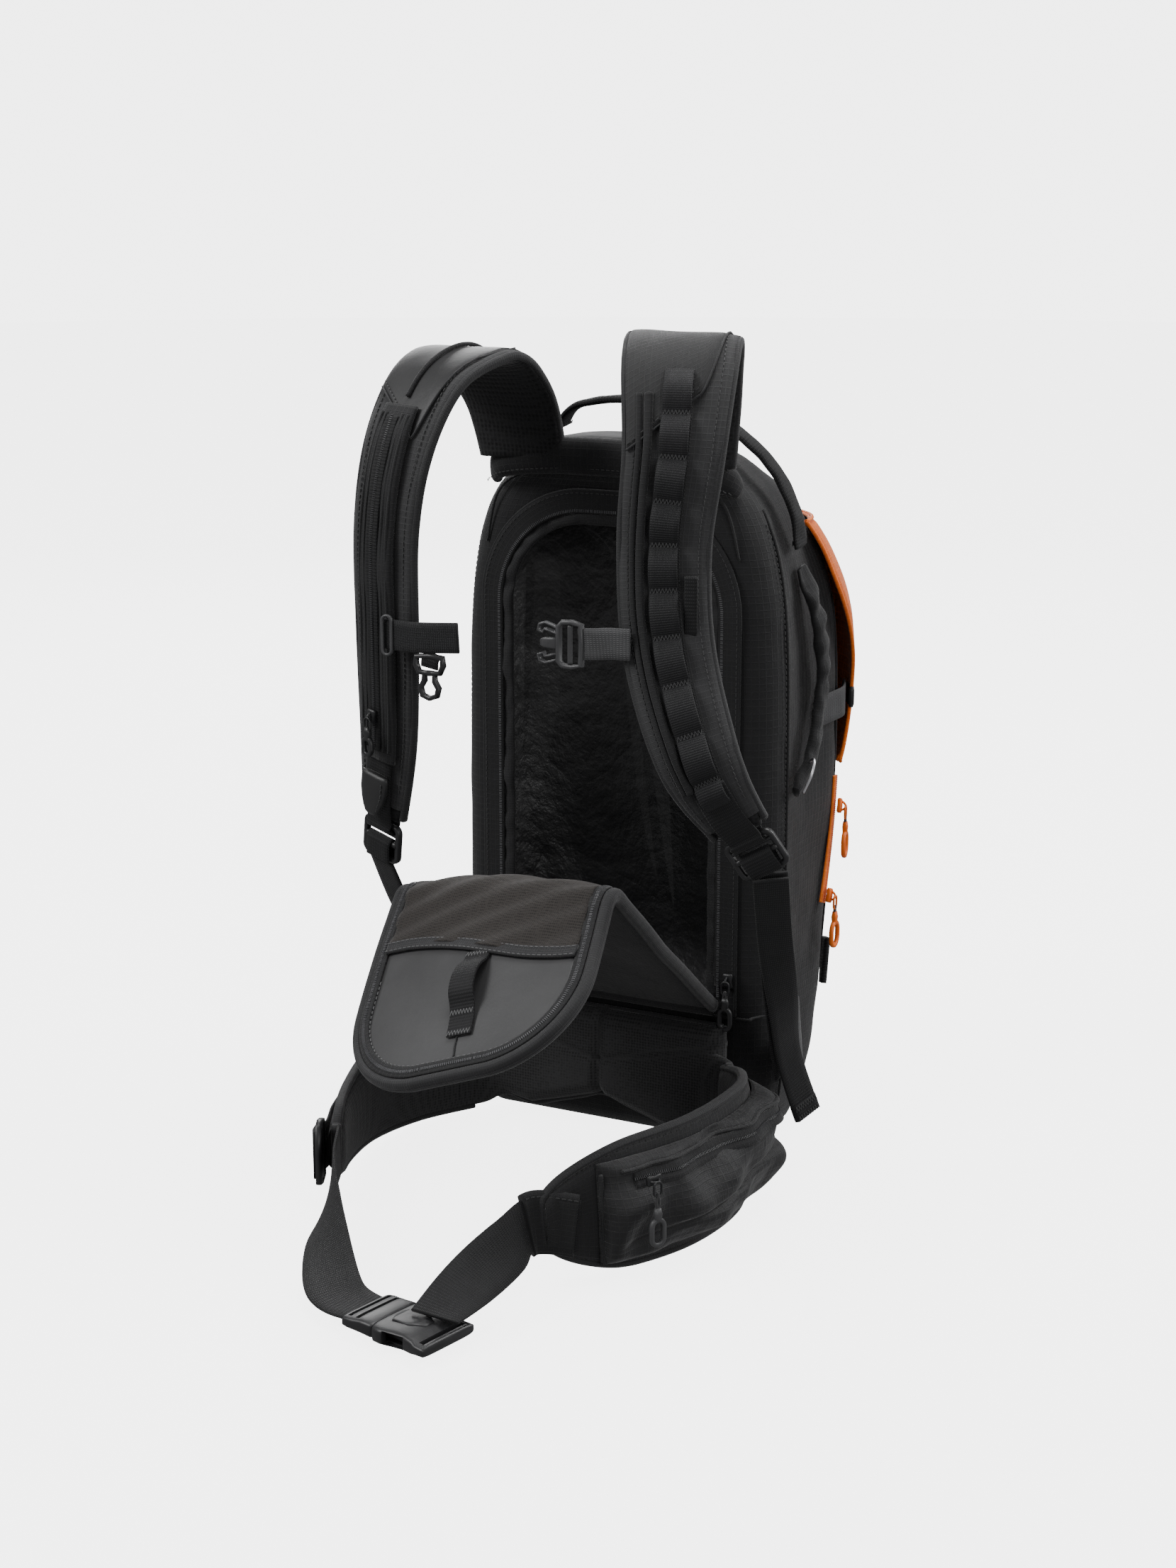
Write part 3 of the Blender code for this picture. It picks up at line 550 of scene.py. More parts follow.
BLACK = (0.0085, 0.0085, 0.0092)
SOFT_BLACK = (0.0125, 0.0125, 0.0132)
CHARCOAL = (0.029, 0.029, 0.030)
GREY = (0.041, 0.041, 0.042)
ORANGE = (0.95, 0.155, 0.003)

RIPSTOP = fabric("ripstop_black", BLACK, 0.78)
STRAP_FABRIC = fabric("strap_ripstop", CHARCOAL, 0.75, 0.0045, 0.5)
YOKE = laminate("yoke_laminate", (0.0150, 0.0150, 0.0155), 0.45)
YOKE_RIPSTOP = fabric("yoke_ripstop", (0.0165, 0.0165, 0.0170), 0.66, 0.0042, 0.7)
DARK_FABRIC = fabric("plain_black", SOFT_BLACK, 0.82, 0.004, 0.8)
POCKET_FABRIC = fabric("pocket_ripstop", SOFT_BLACK, 0.6, 0.005, 2.2)
ORANGE_FABRIC = fabric("orange_ripstop", ORANGE, 0.6, 0.006, 0.8, 0.25)
LINING = coated("lining_coated", (0.0080, 0.0080, 0.0085), 0.34, 1.6)
LAMINATE = laminate("panel_laminate", GREY, 0.5)
BINDING = fabric("binding_tape", (0.019, 0.019, 0.020), 0.72, 0.002, 0.6)
MESH = air_mesh("spacer_mesh", SOFT_BLACK)
LUMBAR_MESH = air_mesh("lumbar_mesh", (0.021, 0.021, 0.0215), 0.0023, 0.0006)
POCKET_MESH = air_mesh("stretch_mesh", (0.024, 0.021, 0.019), 0.0016, 0.0005)
BLACK_WEB = webbing_material("black_webbing", BLACK)
CHAIN_WEB_PAINT = webbing_material("chain_webbing", (0.009, 0.009, 0.010), 0.0016, 0.6)
GREY_WEB = webbing_material("grey_webbing", (0.062, 0.062, 0.064), 0.0024)
BAND_WEB = webbing_material("band_webbing", (0.050, 0.050, 0.052), 0.002)
PLASTIC = plastic("black_plastic", (0.014, 0.014, 0.015))
GREY_PLASTIC = plastic("grey_plastic", (0.045, 0.045, 0.047), 0.42)
ORANGE_PLASTIC = plastic("orange_plastic", ORANGE, 0.4)
TEETH = plastic("zip_teeth", (0.080, 0.080, 0.084), 0.30)
DARK_TEETH = plastic("dark_teeth", (0.030, 0.030, 0.032), 0.35)
ORANGE_TEETH = plastic("orange_teeth", (0.75, 0.14, 0.01), 0.4)
GREY_FABRIC = fabric("grey_ripstop", (0.075, 0.075, 0.077), 0.7, 0.0045, 0.4)
AIRBAG = fabric("airbag_nylon", ORANGE, 0.55, 0.004, 1.5)
FAN_PLASTIC = plastic("fan_plastic", (0.45, 0.45, 0.45), 0.4)
STEEL = metal_material("brushed_steel", (0.55, 0.55, 0.56))
THREAD = thread_material("black_thread", (0.030, 0.030, 0.031))
PALE_THREAD = thread_material("pale_thread", (0.09, 0.09, 0.092))
SILVER = metal_material("silver_cord", (0.62, 0.62, 0.64))


# The bag. Its levels repeat the part's: height, half its width, the y of its back and of its outer face,
# and the radii of its back and outer corners.

BAG_LEVELS = (
    (0.000, 0.116, 0.012, 0.090, 0.020, 0.036),
    (0.010, 0.126, 0.003, 0.112, 0.024, 0.048),
    (0.040, 0.131, 0.000, 0.135, 0.028, 0.058),
    (0.100, 0.132, 0.000, 0.153, 0.030, 0.064),
    (0.200, 0.132, 0.000, 0.172, 0.030, 0.068),
    (0.300, 0.132, 0.000, 0.185, 0.030, 0.070),
    (0.380, 0.131, 0.000, 0.184, 0.030, 0.070),
    (0.430, 0.127, 0.000, 0.168, 0.030, 0.066),
    (0.470, 0.118, 0.000, 0.144, 0.030, 0.058),
    (0.500, 0.103, 0.001, 0.118, 0.028, 0.048),
    (0.520, 0.082, 0.005, 0.096, 0.024, 0.038),
    (0.531, 0.055, 0.014, 0.076, 0.018, 0.026),
)

LEVEL_BLEND = 0.024  # how far above and below a height its measures are averaged


def straight_level(height):
    """The bag's measures at a height, straight from one level to the next."""
    for low, high in zip(BAG_LEVELS, BAG_LEVELS[1:]):
        if height <= high[0]:
            part = max(height - low[0], 0) / (high[0] - low[0])
            return tuple(a + (b - a) * part for a, b in zip(low, high))
    return BAG_LEVELS[-1]


def bag_level(height):
    """The bag's measures at a height, eased across the levels so that the fabric shows no creases there."""
    reach = max(min(LEVEL_BLEND, height, BAG_LEVELS[-1][0] - height), 0.0)
    near = [straight_level(height + reach * k / 4) for k in range(-4, 5)]
    return tuple(sum(values) / len(near) for values in zip(*near))


def bag_ring(height, grow=0.0, per_corner=10, per_side=14):
    """An even ring round the bag at a height, starting in the middle of its back."""
    _, half, near, far, back, outer = bag_level(height)
    half, near, far, back, outer = half + grow, near - grow, far + grow, back + grow, outer + grow
    corners = (
        ((half - back, near + back), back, -90),
        ((half - outer, far - outer), outer, 0),
        ((outer - half, far - outer), outer, 90),
        ((back - half, near + back), back, 180),
    )
    arcs = []
    for centre, radius, start in corners:
        angles = [math.radians(start + 90 * i / per_corner) for i in range(per_corner + 1)]
        arcs.append([
            Vector((centre[0] + radius * math.cos(a), centre[1] + radius * math.sin(a), height)) for a in angles
        ])
    ring = []
    for i, points in enumerate(arcs):
        ring += points
        after = arcs[(i + 1) % 4][0]
        steps = per_side * 2 if i == 3 else per_side
        ring += [points[-1].lerp(after, k / steps) for k in range(1, steps)]
    return [at(*p) for p in ring]


def bag_side(y, height, out=0.0, sign=1):
    """The point on the bag's side at this depth and height, out metres clear of it, and the way it faces."""
    _, half, near, far, back, radius = bag_level(height)
    over = min(max(y - (far - radius), 0.0), radius * 0.999)
    drop = radius - math.sqrt(radius**2 - over**2)
    normal = Vector((math.sqrt(radius**2 - over**2), over, 0)) / radius
    under = min(max(near + back - y, 0.0), back * 0.999)
    if under > 0:
        drop = back - math.sqrt(back**2 - under**2)
        normal = Vector((math.sqrt(back**2 - under**2), -under, 0)) / back
    normal = Vector((normal.x * sign, normal.y, 0))
    return at((half - drop) * sign, y, height) + normal * out, normal


def side_route(places, out, width, sign=1):
    """A route over the bag's side through (y, height) places."""
    found = [bag_side(y, z, out, sign) for y, z in places]
    return line_route([p for p, _ in found], [n for _, n in found], width)


def arch_points(half, low, high, radius, steps=10, legs=8):
    """An arch's (x, z) line from its right foot to its left: half its width, foot, top and corner radius."""
    points = [(half, low + (high - radius - low) * i / legs) for i in range(legs)]
    for middle, start in ((half - radius, 0), (radius - half, 90)):
        for i in range(steps + 1):
            a = math.radians(start + 90 * i / steps)
            points.append((middle + radius * math.cos(a), high - radius + radius * math.sin(a)))
    points += [(-half, high - radius - (high - radius - low) * (i + 1) / legs) for i in range(legs)]
    return points


def arch_route(half, low, high, radius, y, width):
    points = [at(x, y, z) for x, z in arch_points(half, low, high, radius)]
    return line_route(points, [OUTWARD] * len(points), width)


OPENING = arch_points(0.088, 0.118, 0.476, 0.066)
CUT_FROM, CUT_DEPTH = -0.03, 0.058  # the y at which the opening's cutter starts, and its length


def cut_arch(skin):
    """Opens the back of a bag skin with an arch."""
    bm = bmesh.new()
    face = bm.faces.new([bm.verts.new(at(x, CUT_FROM, z)) for x, z in OPENING])
    moved = bmesh.ops.extrude_face_region(bm, geom=[face])
    verts = [v for v in moved["geom"] if isinstance(v, bmesh.types.BMVert)]
    bmesh.ops.translate(bm, verts=verts, vec=(0, CUT_DEPTH, 0))
    bmesh.ops.recalc_face_normals(bm, faces=bm.faces[:])
    cut_out(skin, mesh_from(bm, "arch_cutter"))


def build_bag():
    """The bag's fabric, a little crumpled, with its back open."""
    heights = [0.0, 0.003, 0.007]
    heights += [0.010 + 0.0055 * i for i in range(93)]
    heights += [0.524, 0.5275, 0.530, 0.531]
    rings = []
    for height in heights:
        ring = []
        for p in bag_ring(height):
            inward = Vector((0, BACK + 0.08, height)) - p
            inward.z = 0
            inward.normalize()
            flat = min(max((p.y - BACK - 0.004) / 0.03, 0.0), 1.0) * min(height / 0.05, 1.0)
            crumple = ripple(p, 14, 0.0035, 3) + ripple(p, 34, 0.0016, 5)
            # The fabric draws in a little between the seams at the side.
            pull = 0.0025 * math.sin(math.pi * min(max((p.y - BACK - 0.03) / 0.09, 0), 1))
            ring.append(p + inward * ((crumple * 0.7 + pull) * flat))
        rings.append(ring)
    skin = put("bag_skin", loft("bag_skin", rings), RIPSTOP, slot="shell_fabric", replaces=("main_shell",))
    thicken(skin, 0.0022)
    cut_arch(skin)
    build_seams()
    build_lining()


def build_seams():
    """The seams that show on the bag: the side gussets, the low seam and the one over the opening."""
    for name, sign in (("left", -1), ("right", 1)):
        heights = [0.02 + 0.0245 * i for i in range(20)]
        route = side_route([(0.030, z) for z in heights], 0.0006, 0.01, sign)
        swept(
            "gusset_piping_" + name, route, round_section(0.0014, 8), DARK_FABRIC, steps=90,
            slot="shell_fabric",
        )
        stitches("gusset_stitch_" + name, route, (0.02, 0.98), THREAD, out=0.0006, shift=0.0045 * sign,
                 slot="shell_fabric")
        bowed = [(0.118 + 0.014 * math.sin(i * 0.16), 0.05 + 0.0225 * i) for i in range(17)]
        outer = side_route(bowed, 0.0004, 0.01, sign)
        swept(
            "outer_piping_" + name, outer, round_section(0.0011, 8), DARK_FABRIC, steps=80,
            slot="shell_fabric",
        )
    low = [bag_side(0.0299, 0.106, 0.0008, sign)[0] for sign in (-1, 1)]
    points = [low[0], at(-0.120, 0.004, 0.105), at(-0.105, -0.0006, 0.104), at(0, -0.0006, 0.1035),
              at(0.105, -0.0006, 0.104), at(0.120, 0.004, 0.105), low[1]]
    pipe("low_seam", points, 0.0011, DARK_FABRIC, slot="shell_fabric")
    points = [
        at(-0.104, 0.0015, 0.452), at(-0.092, -0.0004, 0.492), at(-0.060, -0.0004, 0.508),
        at(0, 0.0005, 0.512), at(0.060, -0.0004, 0.508), at(0.092, -0.0004, 0.492),
        at(0.104, 0.0015, 0.452),
    ]
    pipe("yoke_seam", points, 0.0009, DARK_FABRIC, slot="shell_fabric")


def build_lining():
    """The main compartment's inside: its walls, a sheet with a seam, and the small inner pocket's zip."""
    rings = []
    for i in range(70):
        height = 0.012 + 0.0072 * i
        ring = []
        for p in bag_ring(height, -0.0075, 6, 10):
            p.y = min(p.y, BACK + 0.079)
            inward = Vector((0, BACK + 0.045, height)) - p
            inward.z = 0
            fold = ripple(p, 16, 0.009, 11) + ripple(p, 38, 0.004, 4)
            loose = min(max((p.y - BACK - 0.012) / 0.02, 0), 1)
            ring.append(p + inward.normalized() * max(fold + 0.002, 0) * loose)
        rings.append(ring)
    lining = put("lining", loft("lining", rings), LINING, slot="lining")
    cut_arch(lining)

    rows = []
    for i in range(76):
        height = 0.030 + 0.0058 * i
        row = []
        for k in range(56):
            x = -0.112 + 0.004 * k
            p = at(x, 0.0745, height)
            sag = 0.5 + 0.5 * math.cos(math.pi * min(abs(height - 0.300) / 0.19, 1))
            slanted = Vector((x * 1.5 + height * 0.7, 0, height - x * 0.5))
            fold = ripple(slanted, 13, 0.022, 2) + ripple(p, 34, 0.010, 8)
            drape = 0.010 * math.exp(-(((height - 0.222) / 0.008) ** 2)) * (0.6 + 0.4 * math.sin(x * 40))
            p.y -= max(fold, -0.004) * (0.4 + 0.9 * sag) + drape
            row.append(p)
        rows.append(row)
    sheet = put(
        "inner_sheet", loft("inner_sheet", rows, closed=False), LINING, slot="lining",
        replaces=("divider",),
    )
    thicken(sheet, 0.0008)
    seam = [at(x, 0.062 + 0.004 * math.sin(x * 60), 0.222) for x in (-0.10, -0.06, -0.02, 0.02, 0.06, 0.10)]
    pipe("inner_seam", seam, 0.0012, DARK_FABRIC, slot="lining")
    left = [
        at(-0.070, 0.052, 0.330), at(-0.073, 0.050, 0.280), at(-0.074, 0.050, 0.225),
        at(-0.071, 0.052, 0.170),
    ]
    route = line_route(left, [Vector((0.5, -0.85, 0)).normalized()] * 4, 0.012)
    webbing("inner_pocket_tape", route, 0.014, 0.0012, DARK_FABRIC, slot="lining", steps=30)
    places = along_route(route, (0, 1), 0.0022, 0.0012)
    blocks("inner_pocket_teeth", places, (0.0032, 0.0013, 0.0010), DARK_TEETH, slot="zip_tape")


def zip_row(name, route, span, out, tooth, body="root", shift=0.0, **more):
    """A fine row of coil."""
    places = along_route(route, span, COIL_PITCH, out, shift)
    return blocks(name, places, COIL_SIZE, tooth, body, **more)


def build_opening():
    """Tape, teeth and binding round the back opening."""
    tape = arch_route(0.0985, 0.128, 0.4875, 0.078, -0.0016, 0.024)
    webbing(
        "opening_tape", tape, 0.018, 0.0016, DARK_FABRIC, steps=150, slot="zip_tape",
        replaces=("opening_zip",),
    )
    stitches("opening_stitch", tape, (0.01, 0.99), THREAD, out=0.0009, shift=-0.0060, slot="zip_tape")
    coil = arch_route(0.0925, 0.120, 0.4805, 0.072, -0.0024, 0.01)
    zip_row("opening_teeth", coil, (0, 1), 0.0, TEETH, slot="zip_tape")
    inner = arch_route(0.0865, 0.119, 0.4745, 0.066, 0.001, 0.01)
    swept(
        "opening_binding", inner, pad_section(0.0095, 0.0048, 14, 2.2), BINDING, steps=260, slot="zip_tape",
        wave=lambda p: ripple(p, 95, 0.0022, 15) + ripple(p, 30, 0.0016, 16),
    )
    outer = arch_route(0.1065, 0.106, 0.4955, 0.086, -0.0012, 0.01)
    swept("opening_piping", outer, round_section(0.0013, 8), DARK_FABRIC, steps=150, slot="zip_tape")


# The back panel

PANEL_HALF = 0.095
PANEL_LENGTH = 0.372
PANEL_CORNER = 0.070
HINGE = at(0.0, -0.0115, 0.110)
OPEN = math.radians(50)  # how far the panel is turned down from the bag
FOLD_AT = 0.200  # the height of the fold above the hinge, in the panel's middle
SKEW = math.radians(15)  # the slant of the fold across the panel
BENT = math.radians(75)  # how far the upper part is folded over
BEND = 0.016  # half the stretch of panel that goes round the fold

LOWER = Matrix.Rotation(OPEN, 3, "X")
FOLD_AXIS = Vector((math.cos(SKEW), 0, math.sin(SKEW)))
ACROSS_FOLD = Vector((-math.sin(SKEW), 0, math.cos(SKEW)))


def panel_point(x, v, high=0.0):
    """The place of a point of the panel: x across, v up from the hinge, high above its outer face."""
    local = Vector((x, 0, v - FOLD_AT))
    far, beside = local.dot(ACROSS_FOLD), local.dot(FOLD_AXIS)
    high = high - 0.006 * (x / PANEL_HALF) ** 2 * min(v / 0.12, 1.0)
    high += ripple(Vector((x, v, 0)), 15, 0.0022, 6)
    if far > 0:
        high -= 0.010 * (far / 0.172) ** 2
    spread = min(max((far + BEND) / (2 * BEND), 0.0), 1.0)
    angle = BENT * spread
    radius = BEND / math.tan(BENT / 2)
    turn = Matrix.Rotation(angle, 3, FOLD_AXIS)
    if far <= -BEND:
        place = ACROSS_FOLD * far
    else:
        # Round the bend on an arc, then straight on.
        start = -ACROSS_FOLD * BEND
        place = start + ACROSS_FOLD * radius * math.sin(angle) + OUTWARD * radius * (1 - math.cos(angle))
        if far > BEND:
            place += turn @ ACROSS_FOLD * (far - BEND)
    normal = turn @ Vector((0, 1, 0))
    local = place + FOLD_AXIS * beside + normal * high
    return HINGE + LOWER @ (local + Vector((0, 0, FOLD_AT)))


def panel_normal(x, v):
    """The way the panel's outer face looks at a place."""
    a = panel_point(x + 0.002, v) - panel_point(x - 0.002, v)
    b = panel_point(x, v + 0.002) - panel_point(x, v - 0.002)
    return -a.cross(b).normalized()


FOLD_START = HINGE + LOWER @ (Vector((0, 0, FOLD_AT)) - ACROSS_FOLD * BEND)
FOLD_TURN = Matrix.Rotation(BENT, 3, FOLD_AXIS)
FOLD_END = HINGE + LOWER @ (Vector((0, 0, FOLD_AT)) + FOLD_TURN @ ACROSS_FOLD * BEND)
PANEL_BLEND = ("panel_lower", "panel_upper", FOLD_START, FOLD_END)


def panel_edge(inset):
    """The panel's outline, inset, from the right foot round to the left foot, as (x, v)."""
    return arch_points(PANEL_HALF - inset, 0.004, PANEL_LENGTH - inset, PANEL_CORNER - inset, 12, 20)


def panel_line(flat_points, high, width=0.01):
    """A route over the panel through (x, v) places, high above its outer face."""
    points = [panel_point(x, v, high) for x, v in flat_points]
    return line_route(points, [panel_normal(x, v) for x, v in flat_points], width)


def panel_skin(name, high, thick, material, low=0.003, inset=0.004, edge=None, *, replaces=()):
    """A sheet over the panel, from low up to edge(x), or up to its top; low and high may be functions too."""
    rows, columns = 90, 40
    grid = []
    for r in range(rows + 1):
        row = []
        for c in range(columns + 1):
            x = (PANEL_HALF - inset) * (2 * c / columns - 1)
            corner = max(abs(x) - (PANEL_HALF - PANEL_CORNER), 0)
            reach = min(corner / (PANEL_CORNER - inset), 1.0)
            top = PANEL_LENGTH - PANEL_CORNER + (PANEL_CORNER - inset) * math.sqrt(max(1 - reach**2, 0))
            bottom = low(x) if callable(low) else low
            if edge:
                top = min(top, edge(x))
            v = bottom + (top - bottom) * r / rows
            row.append(panel_point(x, v, high(x, v) if callable(high) else high))
        grid.append(row)
    skin = linked(name, loft(name, grid, closed=False))
    skin.data.materials.append(material)
    thicken(skin, thick, 0)
    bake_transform(skin)
    if replaces:
        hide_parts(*replaces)


def pocket_edge(x):
    """How high the mesh pocket's slanted top edge is on the panel."""
    return FOLD_AT + 0.066 + 0.19 * x + 0.006 * math.sin(x * 30)


def build_panel():
    """The back panel, turned down and folded: its skins, the mesh pocket, its bound edge and its zip half."""
    panel_skin("panel_body", 0.0035, 0.0050, DARK_FABRIC,
               replaces=("back_panel_lower", "back_panel_upper"))
    panel_skin(
        "panel_inner_face", 0.0066, 0.0010, LAMINATE, low=pocket_edge, inset=0.012,
    )

    def puff(x, v):
        return 0.0078 + 0.0022 * math.sin(
            math.pi * (x / PANEL_HALF + 1) / 2
        ) + 0.0009 * math.sin(v * 260 + x * 60)

    panel_skin(
        "panel_mesh_pocket", puff, 0.0012, POCKET_MESH, low=lambda x: FOLD_AT - 0.075 + 0.2 * x,
        inset=0.012, edge=pocket_edge, replaces=("mesh_pocket",),
    )
    edge_points = [(x, pocket_edge(x)) for x in (-0.083, -0.06, -0.035, -0.01, 0.015, 0.04, 0.065, 0.083)]
    route = panel_line(edge_points, 0.0095)
    webbing(
        "pocket_binding", route, 0.010, 0.0020, BINDING, steps=60, slot="pocket_mesh", body="panel_upper",
    )
    for k, shift in enumerate((-0.0034, 0.0034)):
        stitches(
            f"pocket_stitch_{k}", route, (0.01, 0.99), PALE_THREAD, "panel_upper", 0.0011, shift,
            slot="pocket_mesh",
        )

    rim = panel_line(panel_edge(0.0015), 0.0035)
    swept("panel_binding", rim, pad_section(0.0085, 0.0105, 14, 2.3), BINDING, steps=220, slot="zip_tape",
          blend=PANEL_BLEND)
    tape = panel_line(panel_edge(0.0085), 0.0082)
    webbing(
        "panel_zip_tape", tape, 0.009, 0.0010, DARK_FABRIC, steps=220, slot="zip_tape", blend=PANEL_BLEND,
    )
    zip_row("panel_zip_teeth", tape, (0, 1), 0.0010, TEETH, slot="zip_tape", blend=PANEL_BLEND)
    stitches("panel_rim_stitch", panel_line(panel_edge(0.0135), 0.0079), (0.45, 0.72), PALE_THREAD,
             slot="zip_tape", blend=PANEL_BLEND)
    seam = panel_line([(0.002, FOLD_AT + 0.142), (0.002, FOLD_AT + 0.150), (0.003, FOLD_AT + 0.158)], 0.0078)
    swept("panel_middle_seam", seam, round_section(0.0007, 6), BINDING, "panel_upper", steps=12,
          slot="panel_laminate")
    build_panel_loop()


def build_panel_loop():
    """The webbing loop sewn down at both ends, with its middle standing off the panel."""
    stops = (
        (0.072, 0.0088), (0.080, 0.0095), (0.090, 0.0150), (0.100, 0.0178), (0.112, 0.0172),
        (0.120, 0.0120), (0.128, 0.0092), (0.142, 0.0088),
    )
    points = [panel_point(0.004, FOLD_AT + v, h) for v, h in stops]
    route = line_route(points, [panel_normal(0.004, FOLD_AT + v) for v, _ in stops], 0.020)
    webbing("panel_loop_web", route, 0.020, 0.0018, BLACK_WEB, "panel_upper", steps=60, slot="black_webbing",
            replaces=("panel_loop",))
    for k, t in enumerate((0.06, 0.80, 0.97)):
        point, side, out, along = route.frame(t)
        bar_tack(f"loop_tack_{k}", point + out * 0.0012, side, along, out, 0.018, PALE_THREAD, "panel_upper")


# Shoulder straps: their middles repeat the part's

STRAP_LEFT = (
    (-0.066, -0.0075, 0.504), (-0.071, -0.022, 0.560), (-0.080, -0.058, 0.594), (-0.092, -0.098, 0.584),
    (-0.102, -0.126, 0.540), (-0.108, -0.137, 0.480), (-0.110, -0.135, 0.400), (-0.116, -0.126, 0.325),
    (-0.126, -0.117, 0.262),
)
STRAP_RIGHT = (
    (0.068, -0.0075, 0.504), (0.076, -0.026, 0.568), (0.090, -0.064, 0.610), (0.104, -0.102, 0.600),
    (0.112, -0.128, 0.545), (0.110, -0.138, 0.480), (0.120, -0.149, 0.410), (0.149, -0.161, 0.340),
    (0.173, -0.143, 0.292),
)
STRAP_WIDTHS = (0.066, 0.074, 0.080, 0.078, 0.068, 0.062, 0.060, 0.054, 0.040)
STRAP_THICK = 0.012
ROOT_AT = 0.045  # the share of the route that is sewn in under the ridge on the bag's top edge


def strap_route(points, sign):
    """A shoulder strap's route, which turns a little inward past its top."""
    turned = Vector((1, 0.30 * sign, 0)).normalized()
    sides = [Vector((1, 0, 0))] * 3 + [turned] * (len(points) - 3)
    return Route([at(*p) for p in points], sides, STRAP_WIDTHS)


LEFT, RIGHT = strap_route(STRAP_LEFT, -1), strap_route(STRAP_RIGHT, 1)


def build_strap(name, route, node):
    """One shoulder strap: a spacer-mesh underside, a fabric face and a bound edge."""

    def body_section(t):
        end = min(t / 0.03, (1 - t) / 0.05, 1.0)
        return pad_section(route.width(t) * (0.75 + 0.25 * end), STRAP_THICK * (0.45 + 0.55 * end))

    def wave(p):
        return ripple(p, 24, 0.0012, 9)

    pad = swept(f"{name}_pad", route, body_section, MESH, span=(ROOT_AT, 1), steps=110, wave=wave,
                slot="strap_fabric", replaces=(node,))

    def face_section(t):
        width = route.width(t) * 0.97
        half = width / 2
        across = [k / 8 - 1 for k in range(17)]
        top = [(a * half, STRAP_THICK / 2 * (1 - 0.35 * abs(a) ** 5) + 0.0006) for a in across]
        return top + [(x, y - 0.0012) for x, y in top[::-1]]

    swept(f"{name}_face", route, face_section, STRAP_FABRIC, span=(ROOT_AT, 0.965), steps=110, wave=wave,
          slot="strap_fabric")
    stops = [ROOT_AT + (1 - ROOT_AT) * i / 24 for i in range(25)]
    for k, side in enumerate((-1, 1)):
        line = [route.place(t, side * 0.97, 0.0012) for t in stops]
        edge = Route(line, [route.frame(t)[1] for t in stops], 0.006)
        swept(f"{name}_binding_{k}", edge, pad_section(0.0052, 0.0068, 12, 2.2), BINDING, span=(0.0, 0.985),
              steps=110, slot="strap_fabric")
        stitches(f"{name}_edge_stitch_{k}", route, (0.03, 0.94), THREAD, out=STRAP_THICK / 2 + 0.0005,
                 side=side * 0.78, slot="strap_fabric")


def build_yoke(name, route, span, cut, bend, material):
    """The panel over the shoulder.

    Its lower edge slants by cut from the middle to each side, and turns up past bend, a share of the width.
    """

    def end_at(across):
        low = span[1] + cut * across
        turn = min(max((across - bend) / (0.93 - bend), 0.0), 1.0)
        return low - (low - span[0] - 0.10) * (1 - math.sqrt(1 - turn**2))

    def high(across, more):
        return STRAP_THICK / 2 * (1 - 0.35 * abs(across) ** 5) + more

    rows = []
    for i in range(61):
        row = []
        for k in range(49):
            across = k / 24 - 1
            t = span[0] + (end_at(across) - span[0]) * i / 60
            row.append(route.place(t, across * 0.93, high(across, 0.0019)))
        rows.append(row)
    yoke = put(name, loft(name, rows, closed=False), material, slot="panel_laminate")
    thicken(yoke, 0.0010)
    shares = [k / 24 - 1 for k in range(47)]
    lower = [route.place(end_at(a), a * 0.93, high(a, 0.0024)) for a in shares]
    pipe(name + "_piping", lower, 0.0008, BINDING, normals=[route.frame(end_at(a))[2] for a in shares],
         slot="panel_laminate", steps=90)
    stitch = [route.place(end_at(a) - 0.010, a * 0.90, high(a, 0.0030)) for a in shares[:36]]
    line = line_route(stitch, [route.frame(end_at(a))[2] for a in shares[:36]])
    stitches(name + "_stitch", line, (0, 1), THREAD, slot="panel_laminate")


def build_root_cover():
    """The padded ridge along the bag's top edge that the straps are sewn in under."""
    places = (
        (-0.099, 0.012, 0.500), (-0.094, 0.001, 0.509), (-0.078, -0.0075, 0.5165), (-0.040, -0.0095, 0.521),
        (0.0, -0.0095, 0.522), (0.040, -0.0095, 0.521), (0.078, -0.0075, 0.5165), (0.094, 0.001, 0.509),
        (0.099, 0.012, 0.500),
    )
    route = Route([at(*p) for p in places], [UP] * len(places), 0.026)

    def section(t):
        full = math.sin(math.pi * t) ** 0.5
        return pad_section(0.008 + 0.020 * full, 0.004 + 0.013 * full, 24, 2.4)

    swept("root_cover", route, section, RIPSTOP, steps=120, wave=lambda p: ripple(p, 40, 0.0016, 81),
          slot="shell_fabric")
    stitches(
        "root_cover_stitch", route, (0.08, 0.92), THREAD, out=0.0070, shift=-0.0085, slot="shell_fabric",
    )


